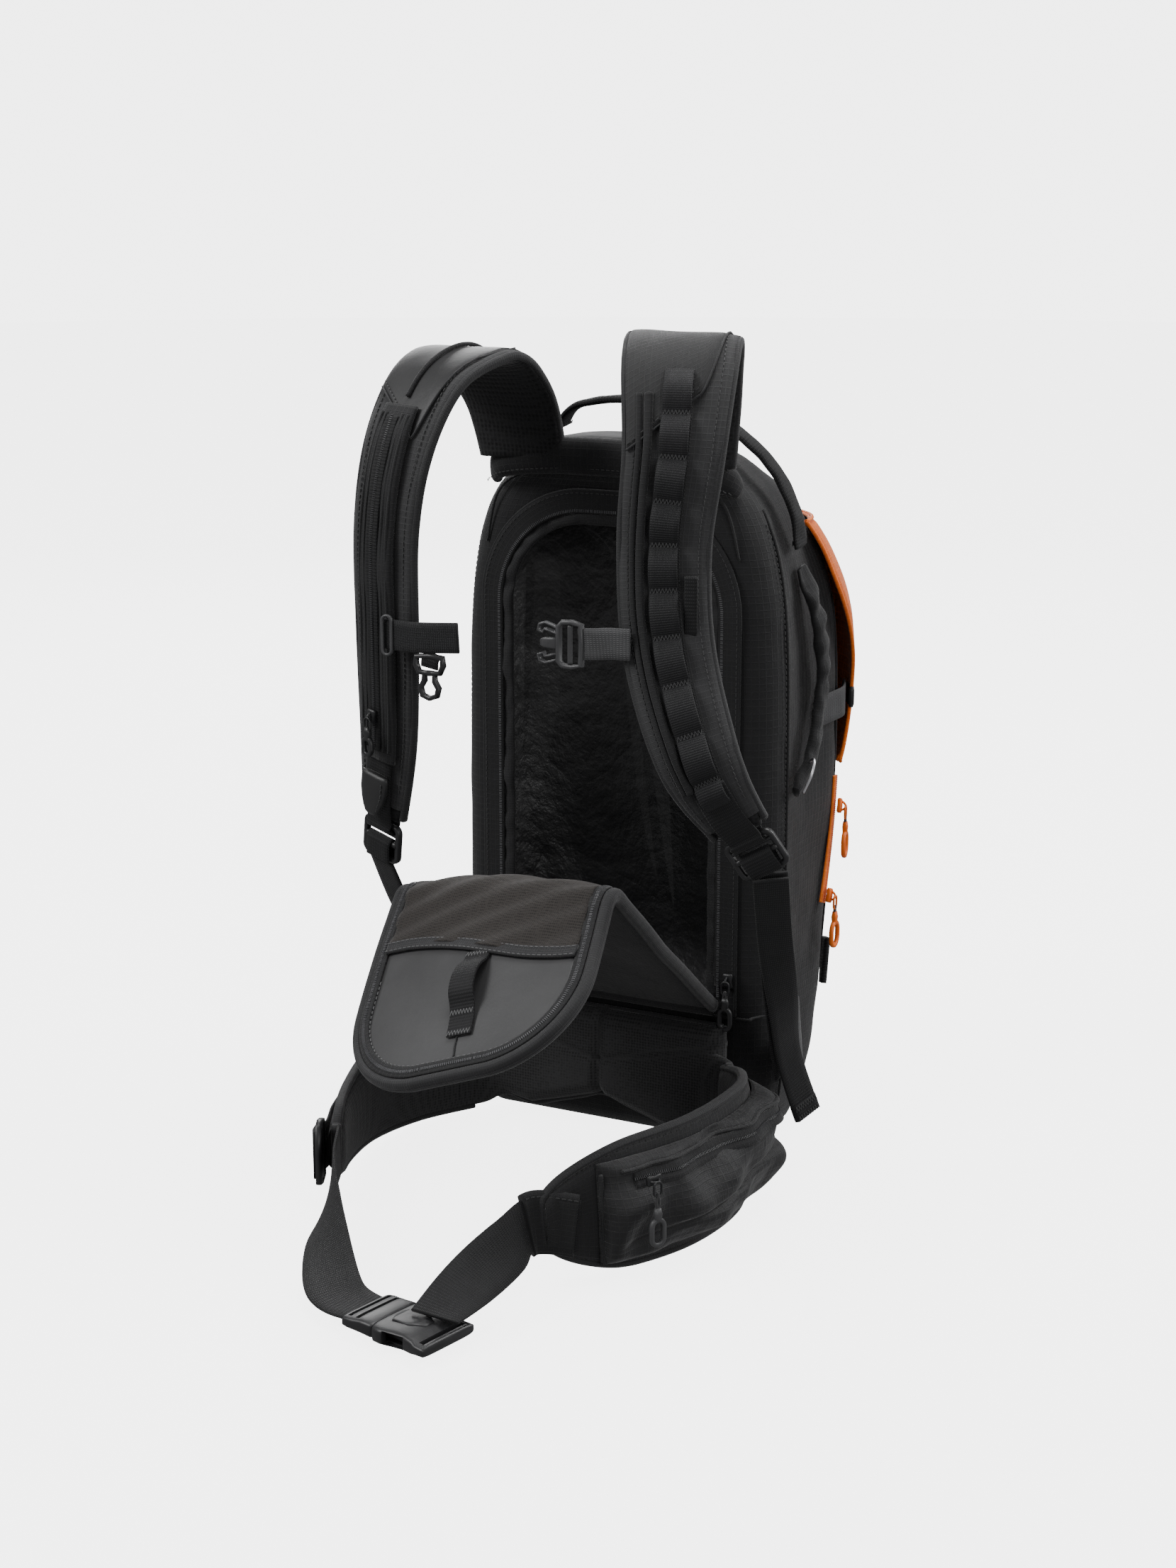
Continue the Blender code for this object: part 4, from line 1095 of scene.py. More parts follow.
def build_daisy_chain():
    """The webbing ladder down the right strap: sewn down at each bar tack and bowed between them."""
    tacks = (0.40, 0.455, 0.51, 0.565, 0.62, 0.675, 0.73, 0.785, 0.84, 0.895, 0.93)
    points, sides = [], []
    for a, b in zip(tacks, tacks[1:]):
        for k in range(6):
            t = a + (b - a) * k / 6
            bow = math.sin(math.pi * k / 6)
            points.append(RIGHT.place(t, 0.03, STRAP_THICK / 2 + 0.0026 + 0.0048 * bow))
            sides.append(RIGHT.frame(t)[1])
    points.append(RIGHT.place(tacks[-1], 0.03, STRAP_THICK / 2 + 0.0026))
    sides.append(sides[-1])
    chain = Route(points, sides, 0.020)
    webbing("chain_web", chain, 0.020, 0.0018, CHAIN_WEB_PAINT, steps=240, slot="black_webbing",
            replaces=("strap_daisy_chain",))
    webbing("chain_backing", RIGHT, 0.021, 0.0010, BLACK_WEB, span=(0.395, 0.935), steps=90,
            lift=STRAP_THICK / 2 + 0.0016, shift=0.0009, slot="black_webbing")
    for k, t in enumerate(tacks[1:-1]):
        _, side, out, along = RIGHT.frame(t)
        centre = RIGHT.place(t, 0.03, STRAP_THICK / 2 + 0.0040)
        bar_tack(f"chain_tack_{k}", centre, side, along, out, 0.019, THREAD)
    # The round rail beside the webbing, on the inner side, and the fold beside that.
    stops = (0.43, 0.5, 0.57, 0.64, 0.71, 0.78, 0.85, 0.90)
    normals = [RIGHT.frame(t)[2] for t in stops]
    for piece, side, high, radius in (("rail", -0.50, 0.0024, 0.0030), ("fold", -0.68, 0.0012, 0.0022)):
        line = [RIGHT.place(t, side, STRAP_THICK / 2 + high) for t in stops]
        pipe(
            f"strap_{piece}_right", line, radius, DARK_FABRIC, steps=90, normals=normals,
            slot="strap_fabric",
        )


def build_strap_pocket():
    """The zipped pocket down the left strap that the airbag's trigger stows in."""

    def section(t):
        end = min((t - 0.45) / 0.04, (0.90 - t) / 0.04, 1.0)
        return pad_section(0.034, 0.0085 * (0.55 + 0.45 * max(end, 0)), 28, 3.0)

    swept(
        "strap_pocket", LEFT, section, DARK_FABRIC, span=(0.45, 0.90), steps=80,
        lift=STRAP_THICK / 2 + 0.0045, wave=lambda p: ripple(p, 30, 0.0010, 12), slot="pocket_fabric",
        replaces=("strap_zip_pocket",),
    )
    top = STRAP_THICK / 2 + 0.0092
    for k, shift in enumerate((-0.0135, -0.0085, 0.0085, 0.0135)):
        points = []
        normals = []
        for i in range(12):
            t = 0.465 + 0.42 * i / 11
            point, side, out, _ = LEFT.frame(t)
            points.append(point + side * shift + out * (top - 0.0006 - abs(shift) * 0.10))
            normals.append(out)
        pipe(
            f"pocket_rail_{k}", points, 0.0013, DARK_FABRIC, steps=80, normals=normals,
            slot="pocket_fabric",
        )
    webbing(
        "strap_zip_tape", LEFT, 0.012, 0.0010, BLACK_WEB, span=(0.47, 0.885), steps=80, lift=top - 0.0002,
        slot="zip_tape",
    )
    zip_row("strap_zip_teeth", LEFT, (0.47, 0.885), top + 0.0008, DARK_TEETH, slot="zip_tape")


def build_straps():
    """Both shoulder straps and all that is sewn on them."""
    build_strap("strap_left", LEFT, "shoulder_strap_left")
    build_strap("strap_right", RIGHT, "shoulder_strap_right")
    build_yoke("yoke_left", LEFT, (0.05, 0.47), 0.05, 0.5, YOKE)
    build_yoke("yoke_right", RIGHT, (0.05, 0.455), -0.05, 0.45, YOKE_RIPSTOP)
    build_root_cover()
    build_daisy_chain()
    build_strap_pocket()
    cable = []
    for i in range(13):
        point, _, out, _ = LEFT.frame(0.10 + 0.335 * i / 12)
        cable.append(point + out * (STRAP_THICK / 2 + 0.0035))
    pipe("trigger_sleeve", cable, 0.0016, DARK_FABRIC, slot="cable_sleeve", replaces=("trigger_cable",))
    build_trigger()


def build_trigger():
    """The trigger's soft grip: a tapered tongue that stands out of the zipped pocket's foot."""
    point, side, out, along = LEFT.frame(0.945)
    centre = point + out * (STRAP_THICK / 2 + 0.0072)
    stations = (
        (-0.0150, 0.0250, 0.0050, 0), (-0.0120, 0.0270, 0.0062, 0), (-0.0020, 0.0265, 0.0066, 0.0004),
        (0.0060, 0.0225, 0.0060, 0.0010), (0.0115, 0.0170, 0.0050, 0.0018),
        (0.0155, 0.0120, 0.0040, 0.0022), (0.0172, 0.0070, 0.0024, 0.0022),
    )
    solid_block("trigger_grip", stations, (along, side, out), centre, YOKE, "trigger", 28, 2.8,
                slot="trigger_plastic", replaces=("trigger_handle",))
    line = [
        centre + along * (0.013 - 0.026 * i / 8) + side * (0.0062 + 0.0036 * min(i / 4, 1)) + out * 0.0036
        for i in range(9)
    ]
    route = line_route(line, [out] * 9)
    stitches("trigger_stitch", route, (0.05, 0.95), THREAD, "trigger", slot="trigger_plastic")


def hoop(name, points, normal, width, thick, material, body="root", sides=8, **more):
    """A closed ring of flat bar: points go round once, in the plane that the normal stands on."""
    count = len(points)
    rings = []
    for i in range(count):
        along = (points[(i + 1) % count] - points[i - 1]).normalized()
        across = normal.cross(along).normalized()
        rings.append([
            points[i] + across * x + normal * y for x, y in pad_section(width, thick, sides, 3.5)
        ])
    mesh = loft(name, rings + [rings[0]], capped=False)
    return put(name, mesh, material, body, **more)


def stadium_points(centre, along, across, length, width, steps=8):
    """A long round-ended ring round a centre."""
    half, radius = (length - width) / 2, width / 2
    points = []
    for end, start in ((1, -90), (-1, 90)):
        for i in range(steps + 1):
            a = math.radians(start + 180 * i / steps)
            points.append(
                centre + along * (end * half + radius * math.cos(a)) + across * radius * math.sin(a)
            )
    return points


def solid_block(name, stations, frame_axes, origin, material, body="root", count=24, power=4.0, **more):
    """A moulded body along an axis: stations are (how far along, width, thickness, rise)."""
    along, across, out = frame_axes
    rings = []
    for far, width, thick, rise in stations:
        rings.append(
            [
                origin + along * far + across * x + out * (y + rise)
                for x, y in pad_section(width, thick, count, power)
            ]
        )
    return put(name, loft(name, rings), material, body, **more)


def zip_pull(prefix, material, grip_length, grip_width, grip_material, cord_length=0.0):
    """A zip's slider, its bail and the moulded grip that hangs from it, in the space of their CAD solids."""
    slider_low, slider_high = (Vector(v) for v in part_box(prefix + "_slider"))
    pull_low, pull_high = (Vector(v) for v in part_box(prefix + "_pull"))
    slider_at = (slider_low + slider_high) / 2
    pull_at = (pull_low + pull_high) / 2
    joint = next(j for j in frame["record"]["behaviour"]["joints"] if j["name"] == prefix + "_travel")
    ahead = Vector(joint["axis"])
    level = Vector((pull_at.x - slider_at.x, pull_at.y - slider_at.y, 0)).normalized()
    out = (level - level.dot(ahead) * ahead).normalized()
    across = out.cross(ahead).normalized()
    body = prefix + "_slider"
    slot = pull_slot(material)
    stations = ((-0.0056, 0.0055, 0.0026, 0), (-0.0045, 0.0078, 0.0036, 0), (0.0, 0.0062, 0.0038, 0.0002),
                (0.0042, 0.0080, 0.0036, 0), (0.0056, 0.0068, 0.0024, 0))
    solid_block(prefix + "_slider_body", stations, (ahead, across, out), slider_at, material, body,
                slot=slot, replaces=(prefix + "_slider",))
    arch = ((-0.0036, 0.0016), (-0.002, 0.0042), (0.001, 0.0044), (0.0034, 0.0016))
    bridge = [slider_at + ahead * a + out * o for a, o in arch]
    pipe(prefix + "_bridge", bridge, 0.0009, material, body, steps=16, normals=[across] * 4, slot=slot)
    down = Vector((0, 0, -1))
    top = Vector((pull_at.x, pull_at.y, pull_high.z))
    level_across = down.cross(level).normalized()
    swing = prefix + "_pull"
    bail = stadium_points(top + down * 0.0050, down, level_across, 0.0105, 0.0062)
    hoop(prefix + "_bail", bail, level, 0.0014, 0.0016, material, swing, slot=slot)
    start = 0.0085  # how far below the slider the cord or the grip begins
    if cord_length:
        for k, side in enumerate((-1, 1)):
            bowed = level_across * 0.0011 * side
            strand = [top + down * (start - 0.001), top + down * (start + cord_length * 0.5) + bowed,
                      top + down * (start + cord_length)]
            pipe(f"{prefix}_cord_{k}", strand, 0.0010, THREAD, swing, steps=14, normals=[level] * 3,
                 slot=slot)
        start += cord_length
    knuckle = (
        (start - 0.002, 0.0040, 0.0034, 0), (start + 0.002, 0.0062, 0.0044, 0),
        (start + 0.006, 0.0052, 0.0038, 0), (start + 0.0085, 0.0030, 0.0030, 0),
    )
    solid_block(prefix + "_knuckle", knuckle, (down, level_across, level), top, grip_material, swing,
                slot=slot, replaces=(prefix + "_pull",))
    middle = top + down * (start + 0.0065 + grip_length / 2)
    ring = stadium_points(middle, down, level_across, grip_length, grip_width)
    hoop(prefix + "_grip", ring, level, 0.0034, 0.0034, grip_material, swing, 10, slot=slot)


def pull_slot(material):
    """The slot for a zip pull's material."""
    return "orange_plastic" if material in (ORANGE_PLASTIC, ORANGE_TEETH) else "black_plastic"


# Chest strap


def build_chest_strap():
    """The chest strap's halves: webbing and a pronged buckle on the right, webbing and a hook on the left."""
    right = at(0.094, -0.1652, 0.418)
    places = (
        (0.004, 0, 0), (0, -0.0008, 0), (-0.010, -0.002, 0), (-0.020, -0.003, -0.001),
        (-0.033, -0.003, -0.002),
    )
    route = Route([right + Vector(p) for p in places], [UP] * 5, 0.022)
    webbing("chest_web_right", route, 0.022, 0.0018, GREY_WEB, "chest_right", slot="grey_webbing",
            replaces=("chest_strap_right",), steps=24)
    stitches(
        "chest_web_right_stitch", route, (0.05, 0.30), THREAD, "chest_right", 0.0010, -0.007,
        slot="grey_webbing",
    )
    buckle = right + Vector((-0.0475, -0.003, -0.003))
    left_way = Vector((-1, 0, 0))
    # The buckle: a frame that holds the webbing, and a pronged nose.
    frame_ring = [buckle + left_way * x + UP * z for x, z in (
        (-0.016, -0.014), (-0.009, -0.0155), (-0.002, -0.0150), (0.001, -0.012), (0.001, 0), (0.001, 0.012),
        (-0.002, 0.0150), (-0.009, 0.0155), (-0.016, 0.014), (-0.0165, 0))]
    hoop(
        "chest_buckle_frame", frame_ring, OUTWARD, 0.0038, 0.0052, GREY_PLASTIC, "chest_right",
        slot="grey_plastic", replaces=("chest_buckle_right",),
    )
    bar = [buckle + left_way * -0.0075 + UP * z for z in (-0.0135, 0, 0.0135)]
    pipe(
        "chest_buckle_bar", bar, 0.0018, GREY_PLASTIC, "chest_right", normals=[OUTWARD] * 3,
        slot="grey_plastic", steps=12,
    )
    for k, side in enumerate((-1, 1)):
        prong = [
            buckle + left_way * x + UP * z * side
            for x, z in (
                (0.0005, 0.0105), (0.006, 0.0125), (0.011, 0.0140), (0.0155, 0.0125), (0.0165, 0.0085),
                (0.0125, 0.0070), (0.0115, 0.0095), (0.007, 0.0085), (0.0015, 0.0065),
            )
        ]
        hoop(
            f"chest_buckle_prong_{k}", prong, OUTWARD, 0.0019, 0.0046, GREY_PLASTIC, "chest_right",
            slot="grey_plastic",
        )
    tongue = ((0.000, 0.0090, 0.0040, 0), (0.006, 0.0078, 0.0038, 0), (0.012, 0.0070, 0.0034, 0),
              (0.0150, 0.0045, 0.0024, 0))
    solid_block(
        "chest_buckle_tongue", tongue, (left_way, UP, OUTWARD), buckle, GREY_PLASTIC, "chest_right",
        slot="grey_plastic",
    )
    keeper = RIGHT.place(0.695, 0.62, STRAP_THICK / 2 + 0.004)
    upright = Route([keeper + UP * 0.020, keeper, keeper - UP * 0.020], [RIGHT.frame(0.69)[1]] * 3, 0.009)
    webbing("chest_slider_web", upright, 0.009, 0.0018, BLACK_WEB, slot="black_webbing", steps=12)

    left = at(-0.094, -0.160, 0.408)
    places = ((-0.006, 0.001, 0), (0, 0, 0), (0.018, -0.003, 0), (0.036, -0.003, 0.001), (0.056, 0, 0.002))
    route = Route([left + Vector(p) for p in places], [UP] * 5, 0.022)
    webbing("chest_web_left", route, 0.022, 0.0030, CHAIN_WEB_PAINT, "chest_left", slot="black_webbing",
            replaces=("chest_strap_left",), steps=30)
    ring = stadium_points(left + Vector((-0.0005, -0.0026, -0.0002)), UP, Vector((1, 0, 0)), 0.028, 0.0075)
    hoop("chest_ring_left", ring, OUTWARD, 0.0022, 0.0030, GREY_PLASTIC, "chest_left", slot="grey_plastic")
    hook = left + Vector((0.034, -0.0025, -0.0245))
    web = Route(
        [
            hook + Vector((0.003, 0, 0.015)), hook + Vector((0.001, -0.001, 0.009)),
            hook + Vector((0, 0, 0.004)),
        ],
        [Vector((1, 0, 0))] * 3, 0.014,
    )
    webbing("chest_hook_web", web, 0.014, 0.0020, BLACK_WEB, "chest_left", slot="black_webbing", steps=12)
    frame_ring = [hook + Vector((x, 0, z)) for x, z in (
        (-0.0105, 0.0115), (0, 0.0125), (0.0105, 0.0115), (0.0110, 0.006), (0.0085, 0.0005), (0, -0.0002),
        (-0.0085, 0.0005), (-0.0110, 0.006))]
    hoop("chest_hook_frame", frame_ring, OUTWARD, 0.0038, 0.0052, PLASTIC, "chest_left",
         slot="grey_plastic", replaces=("chest_hook_left",))
    tip = [
        hook + Vector((x, 0, z))
        for x, z in (
            (-0.0040, 0.0004), (0.0040, 0.0004), (0.0042, -0.0055), (0.0072, -0.0105), (0.0058, -0.0160),
            (0, -0.0180), (-0.0058, -0.0160), (-0.0072, -0.0105), (-0.0042, -0.0055),
        )
    ]
    hoop("chest_hook_tip", tip, OUTWARD, 0.0038, 0.0050, PLASTIC, "chest_left", slot="grey_plastic")


# Ladder locks and the webbings down to the bag's foot


def build_lower_webbing():
    """Each strap's ladder lock, the webbing through it, and the tab that holds that at the bag's foot."""
    for name, sign, strap, hold in (("left", -1, LEFT, -0.142), ("right", 1, RIGHT, 0.150)):
        end, side, out, along = strap.frame(1.0)
        centre = end + along * 0.0185 + out * 0.002
        lock = "lock_" + name
        half_wide, half_long = 0.0185, 0.015
        corner = 0.004
        ring = []
        for cx, cy, start in ((1, 1, 0), (-1, 1, 90), (-1, -1, 180), (1, -1, 270)):
            for i in range(5):
                a = math.radians(start + 90 * i / 4)
                ring.append(centre + side * (cx * (half_wide - corner - 0.0015) + corner * math.cos(a))
                            + along * (cy * (half_long - corner - 0.0015) + corner * math.sin(a)))
        hoop("lock_frame_" + name, ring, out, 0.0042, 0.0052, PLASTIC, lock, 12, slot="black_plastic",
             replaces=("ladder_lock_" + name,))
        for k, (y, radius) in enumerate(((0.0, 0.0024), (-0.0075, 0.0015))):
            bar = [centre + along * y + side * x + out * 0.0008 for x in (-0.0165, 0, 0.0165)]
            pipe(
                f"lock_bar_{name}_{k}", bar, radius, PLASTIC, lock, steps=10, normals=[out] * 3,
                slot="black_plastic",
            )
        # The strap's own webbing goes round the lock's upper bar.
        wrap = [
            strap.place(0.90, 0, STRAP_THICK / 2 + 0.0035), strap.place(0.95, 0, STRAP_THICK / 2 + 0.0035),
            end + out * 0.0065 + along * 0.002, centre - along * 0.0125 + out * 0.0058,
            centre - along * 0.0088 + out * 0.0030, centre - along * 0.0100 - out * 0.0030,
            end - out * 0.0030 + along * 0.001,
        ]
        webbing("strap_end_web_" + name, Route(wrap, [side] * 7, 0.025), 0.025, 0.0020, BLACK_WEB, steps=50,
                slot="black_webbing")
        # The lower webbing comes up through the lock, over its middle bar, and back down as the tail.
        over = [centre + along * 0.0165 - out * 0.0012, centre + along * 0.007 - out * 0.0034,
                centre + along * 0.0012 - out * 0.0030, centre - along * 0.0036 + out * 0.0012,
                centre - along * 0.0006 + out * 0.0048, centre + along * 0.0065 + out * 0.0050,
                centre + along * 0.0150 + out * 0.0040]
        webbing(
            "lock_web_" + name, Route(over, [side] * 7, 0.025), 0.0245, 0.0017, BLACK_WEB, lock, steps=50,
            slot="black_webbing",
        )
        low = at(hold, -0.006, 0.072)
        top = centre + along * 0.017
        points = [top, top.lerp(low, 0.33), top.lerp(low, 0.67), low]
        sides = [side, side, (0.5, sign, 0), (0.1, sign, 0)]
        web = Route(points, sides, 0.025)
        webbing("lower_web_" + name, web, 0.025, 0.0019, BLACK_WEB, slot="black_webbing",
                replaces=("lower_webbing_" + name,))
        corner_points = [
            bag_side(y, z, o, sign)[0]
            for y, z, o in ((0.056, 0.084, 0.004), (0.036, 0.078, 0.0055))
        ]
        corner_points += [low + Vector((-0.004 * sign, 0.0165, -0.003))]
        tab = Route(corner_points, [(0, 0.3, 1)] * 3, (0.060, 0.046, 0.026))
        webbing(
            "corner_" + name, tab, None, 0.0030, GREY_FABRIC, slot="grey_fabric",
            replaces=("corner_tab_" + name,), steps=20,
        )
        stitches(
            "corner_stitch_" + name, tab, (0.05, 0.95), PALE_THREAD, out=0.0017 * -sign, side=0.8,
            slot="grey_fabric",
        )
        if name == "right":
            build_tail(web)


def build_tail(web):
    """The right webbing's loose tail, folded and sewn at its end."""
    points, sides = [], []
    for t in (0.0, 0.3, 0.6, 0.88):
        point, side, out, _ = web.frame(t)
        points.append(point + out * 0.0055)
        sides.append(side)
    points.append(at(0.1680, -0.004, 0.040))
    sides.append(sides[-1])
    tail = Route(points, sides, 0.025)
    webbing(
        "tail_web", tail, 0.025, 0.0019, BLACK_WEB, steps=50, slot="black_webbing",
        replaces=("webbing_tail_right",),
    )
    webbing("tail_fold", tail, 0.0255, 0.0058, BLACK_WEB, span=(0.925, 1.0), steps=12, slot="black_webbing")
    for k, t in enumerate((0.935, 0.985)):
        point, side, out, along = tail.frame(t)
        bar_tack(f"tail_tack_{k}", point + out * 0.0032, side, along, out, 0.022, THREAD)


# Hip belt

WING_RIGHT = (
    (0.111, -0.027, 0.040), (0.143, -0.070, 0.046), (0.157, -0.115, 0.048), (0.151, -0.180, 0.048),
    (0.124, -0.240, 0.047), (0.090, -0.280, 0.044),
)
WING_RIGHT_WIDTHS = (0.066, 0.084, 0.092, 0.092, 0.087, 0.070)
WING_LEFT = (
    (-0.1085, -0.020, 0.045), (-0.133, -0.064, 0.045), (-0.140, -0.120, 0.043), (-0.129, -0.175, 0.040),
    (-0.110, -0.220, 0.038),
)
WING_LEFT_WIDTHS = (0.080, 0.080, 0.070, 0.056, 0.044)
WING_THICK = 0.012
RIGHT_WING = Route([at(*p) for p in WING_RIGHT], [UP] * 6, WING_RIGHT_WIDTHS)
LEFT_WING = Route([at(*p) for p in WING_LEFT], [UP] * 5, WING_LEFT_WIDTHS)


def rounded(t, start, end, amount=1.0):
    """How much of the width is left near a round end, for t between start and end."""
    u = min(max((t - start) / (end - start), 0.0), 1.0)
    return 1 - amount + amount * math.sqrt(max(1 - u**2, 0.0))


def build_wing(name, route, body, node, end_from, least, outer):
    """A wing of the hip belt: padded mesh, a fabric cover on its outer side and a bound edge.

    Its end rounds off from end_from along the route, down to the share least of its width.
    outer is 1 or -1, for the side of the route that faces away from the wearer.
    """

    def width_at(t):
        return route.width(t) * max(rounded(t, end_from, 1.02), least)

    def section(t):
        return pad_section(
            width_at(t), WING_THICK * (0.72 + 0.28 * min(t / 0.05, (1 - t) / 0.05, 1)), 40, 2.9,
        )

    def wave(p):
        return ripple(p, 22, 0.0016, 21)

    wing = swept(name, route, section, LUMBAR_MESH, body, span=(0, 0.995), steps=90, wave=wave,
                 slot="strap_fabric", replaces=(node,))

    def cover(t):
        half = width_at(t) * 0.985 / 2
        across = [k / 10 - 1 for k in range(21)]
        face = [
            (a * half, outer * (WING_THICK / 2 * math.sqrt(max(1 - abs(a) ** 4, 0.04)) + 0.0007))
            for a in across
        ]
        return face + [(x, y - outer * 0.0014) for x, y in face[::-1]]

    swept(name + "_cover", route, cover, DARK_FABRIC, body, span=(0.01, 0.99), steps=90, wave=wave,
          slot="strap_fabric")
    edges = [(0.01 + 0.985 * i / 48, 1.0) for i in range(49)]
    edges += [(0.995 - 0.985 * i / 48, -1.0) for i in range(49)]
    points, normals = [], []
    for t, side in edges:
        point, across, normal, _ = route.frame(t)
        points.append(point + across * side * width_at(t) / 2)
        normals.append(normal)
    trim = line_route(points, normals, 0.006)
    swept(name + "_binding", trim, pad_section(0.0056, 0.0075, 12, 2.2), BINDING, body, steps=240,
          slot="strap_fabric")


def pocket_place(t, across, out):
    """A point of the hip pocket: along the wing, across it from -1 to 1, out from its outer face."""
    point, side, normal, _ = RIGHT_WING.frame(t)
    return point + side * across * 0.037 - normal * (WING_THICK / 2 + 0.0006 + out)


def along_wing(u):
    """The place on the wing's route of a share u of the hip pocket's length."""
    return 0.17 + 0.68 * u


def pocket_depth(u, v):
    """How far the crumpled pocket stands off the wing: u along it from 0 to 1, v across it from -1 to 1."""
    ends = min(u / 0.10, (1 - u) / 0.07, 1.0)
    sides = min((v + 1) / 0.25, (1 - v) / 0.22, 1.0)
    dome = math.sqrt(max(1 - (1 - max(ends, 0)) ** 2, 0)) * math.sqrt(max(1 - (1 - max(sides, 0)) ** 2, 0))
    sag = 0.80 + 0.20 * math.cos(math.pi * min(max((v + 0.35) / 1.3, -1), 1))
    folds = ripple(Vector((u * 0.8 + v * 0.12, v * 0.14 - u * 0.3, 0)), 6.0, 0.0125, 31)
    folds += ripple(pocket_place(along_wing(u), v * 0.985, 0), 36, 0.0062, 33)
    crease = -0.0055 * math.exp(-(((v - 0.10 + 0.75 * u) / 0.08) ** 2)) * math.sin(math.pi * u)
    return dome * (0.0175 * sag + folds + crease)


def pocket_line(v, first, last, out):
    """Points and normals along the pocket's skin at a share across it, out metres clear of it."""
    stops = [first + (last - first) * i / 27 for i in range(28)]
    points = [pocket_place(along_wing(u), v * 0.985, pocket_depth(u, v) + out) for u in stops]
    return points, [-RIGHT_WING.frame(along_wing(u))[2] for u in stops]


def build_hip_pocket():
    """A crumpled pocket, fuller at its bottom, whose zip runs along its top edge."""
    rows = []
    for i in range(81):
        u = i / 80
        row = []
        for k in range(61):
            v = k / 60 * 2 - 1
            row.append(pocket_place(along_wing(u), v * 0.985, pocket_depth(u, v)))
        rows.append(row)
    pocket = put("pocket_skin", loft("pocket_skin", rows, closed=False), POCKET_FABRIC, "belt_right",
                 slot="pocket_fabric", replaces=("hip_pocket",))
    thicken(pocket, 0.0012)
    zip_points, zip_normals = pocket_line(0.66, 0.10, 0.90, 0.0008)
    zip_route = line_route(zip_points, [(n * 0.85 + UP * 0.5).normalized() for n in zip_normals], 0.012)
    webbing(
        "pocket_zip_tape", zip_route, 0.013, 0.0010, DARK_FABRIC, "belt_right", steps=80,
        slot="pocket_fabric",
    )
    zip_row("pocket_zip_teeth", zip_route, (0, 1), 0.0009, DARK_TEETH, "belt_right", slot="pocket_fabric")
    lip, lip_normals = pocket_line(0.84, 0.06, 0.94, 0.0002)
    pipe(
        "pocket_lip", lip, 0.0017, POCKET_FABRIC, "belt_right", normals=lip_normals, slot="pocket_fabric",
        steps=90,
    )
    ends = [pocket_place(0.845, v, 0.004) for v in (-0.95, -0.4, 0.2, 0.8)]
    pipe("pocket_end_seam", ends, 0.0016, BINDING, "belt_right", normals=[-RIGHT_WING.frame(0.845)[2]] * 4,
         slot="pocket_fabric", steps=40)


def build_lumbar_pad():
    """The pad over the small of the back, whose lower edge rises to a point in the middle."""
    top, half = 0.100, 0.103

    def bottom(x):
        rise = 0.030 - 0.018 * min(abs(x) / 0.060, 1.0)
        return rise + 0.008 * min(max((abs(x) - 0.060) / 0.044, 0.0), 1.0)

    rows = []
    for i in range(49):
        row = []
        for k in range(97):
            x = -half + 2 * half * k / 96
            z = bottom(x) + (top - bottom(x)) * i / 48
            inset = min((half - abs(x)) / 0.014, (z - bottom(x)) / 0.014, (top - z) / 0.014, 1.0)
            dome = math.sqrt(max(1 - (1 - inset) ** 2, 0))
            groove = 0.0042 * math.exp(-((x / 0.0035) ** 2))
            rib = 0.0020 * math.exp(-(((z - 0.060 - 0.25 * abs(x)) / 0.003) ** 2))
            depth = 0.0215 * (0.35 + 0.65 * dome) - groove - rib + ripple(Vector((x, 0, z)), 20, 0.0016, 41)
            row.append(at(x, -max(depth, 0.002), z))
        rows.append(row)
    pad = put(
        "lumbar_skin", loft("lumbar_skin", rows, closed=False), LUMBAR_MESH, slot="air_mesh",
        replaces=("lumbar_pad",),
    )
    thicken(pad, 0.005)
    edge = [at(x / 50, -0.0075, bottom(x / 50)) for x in range(-5, 6)]
    pipe("lumbar_binding", edge, 0.0028, BINDING, slot="air_mesh", steps=120)
    high = [at(x, -0.0080, 0.099) for x in (-0.1, -0.05, 0, 0.05, 0.1)]
    pipe("lumbar_top_binding", high, 0.0022, BINDING, slot="air_mesh", steps=60)


# The waist buckle's place, the way from its nose to its socket, and the way across it
BUCKLE_AT = at(0.043, -0.392, 0.0095)
BUCKLE_TURN = Matrix.Rotation(math.radians(-12.5), 3, "Z")
AHEAD = BUCKLE_TURN @ Vector((1, 0, 0))
ACROSS = BUCKLE_TURN @ Vector((0, 1, 0))


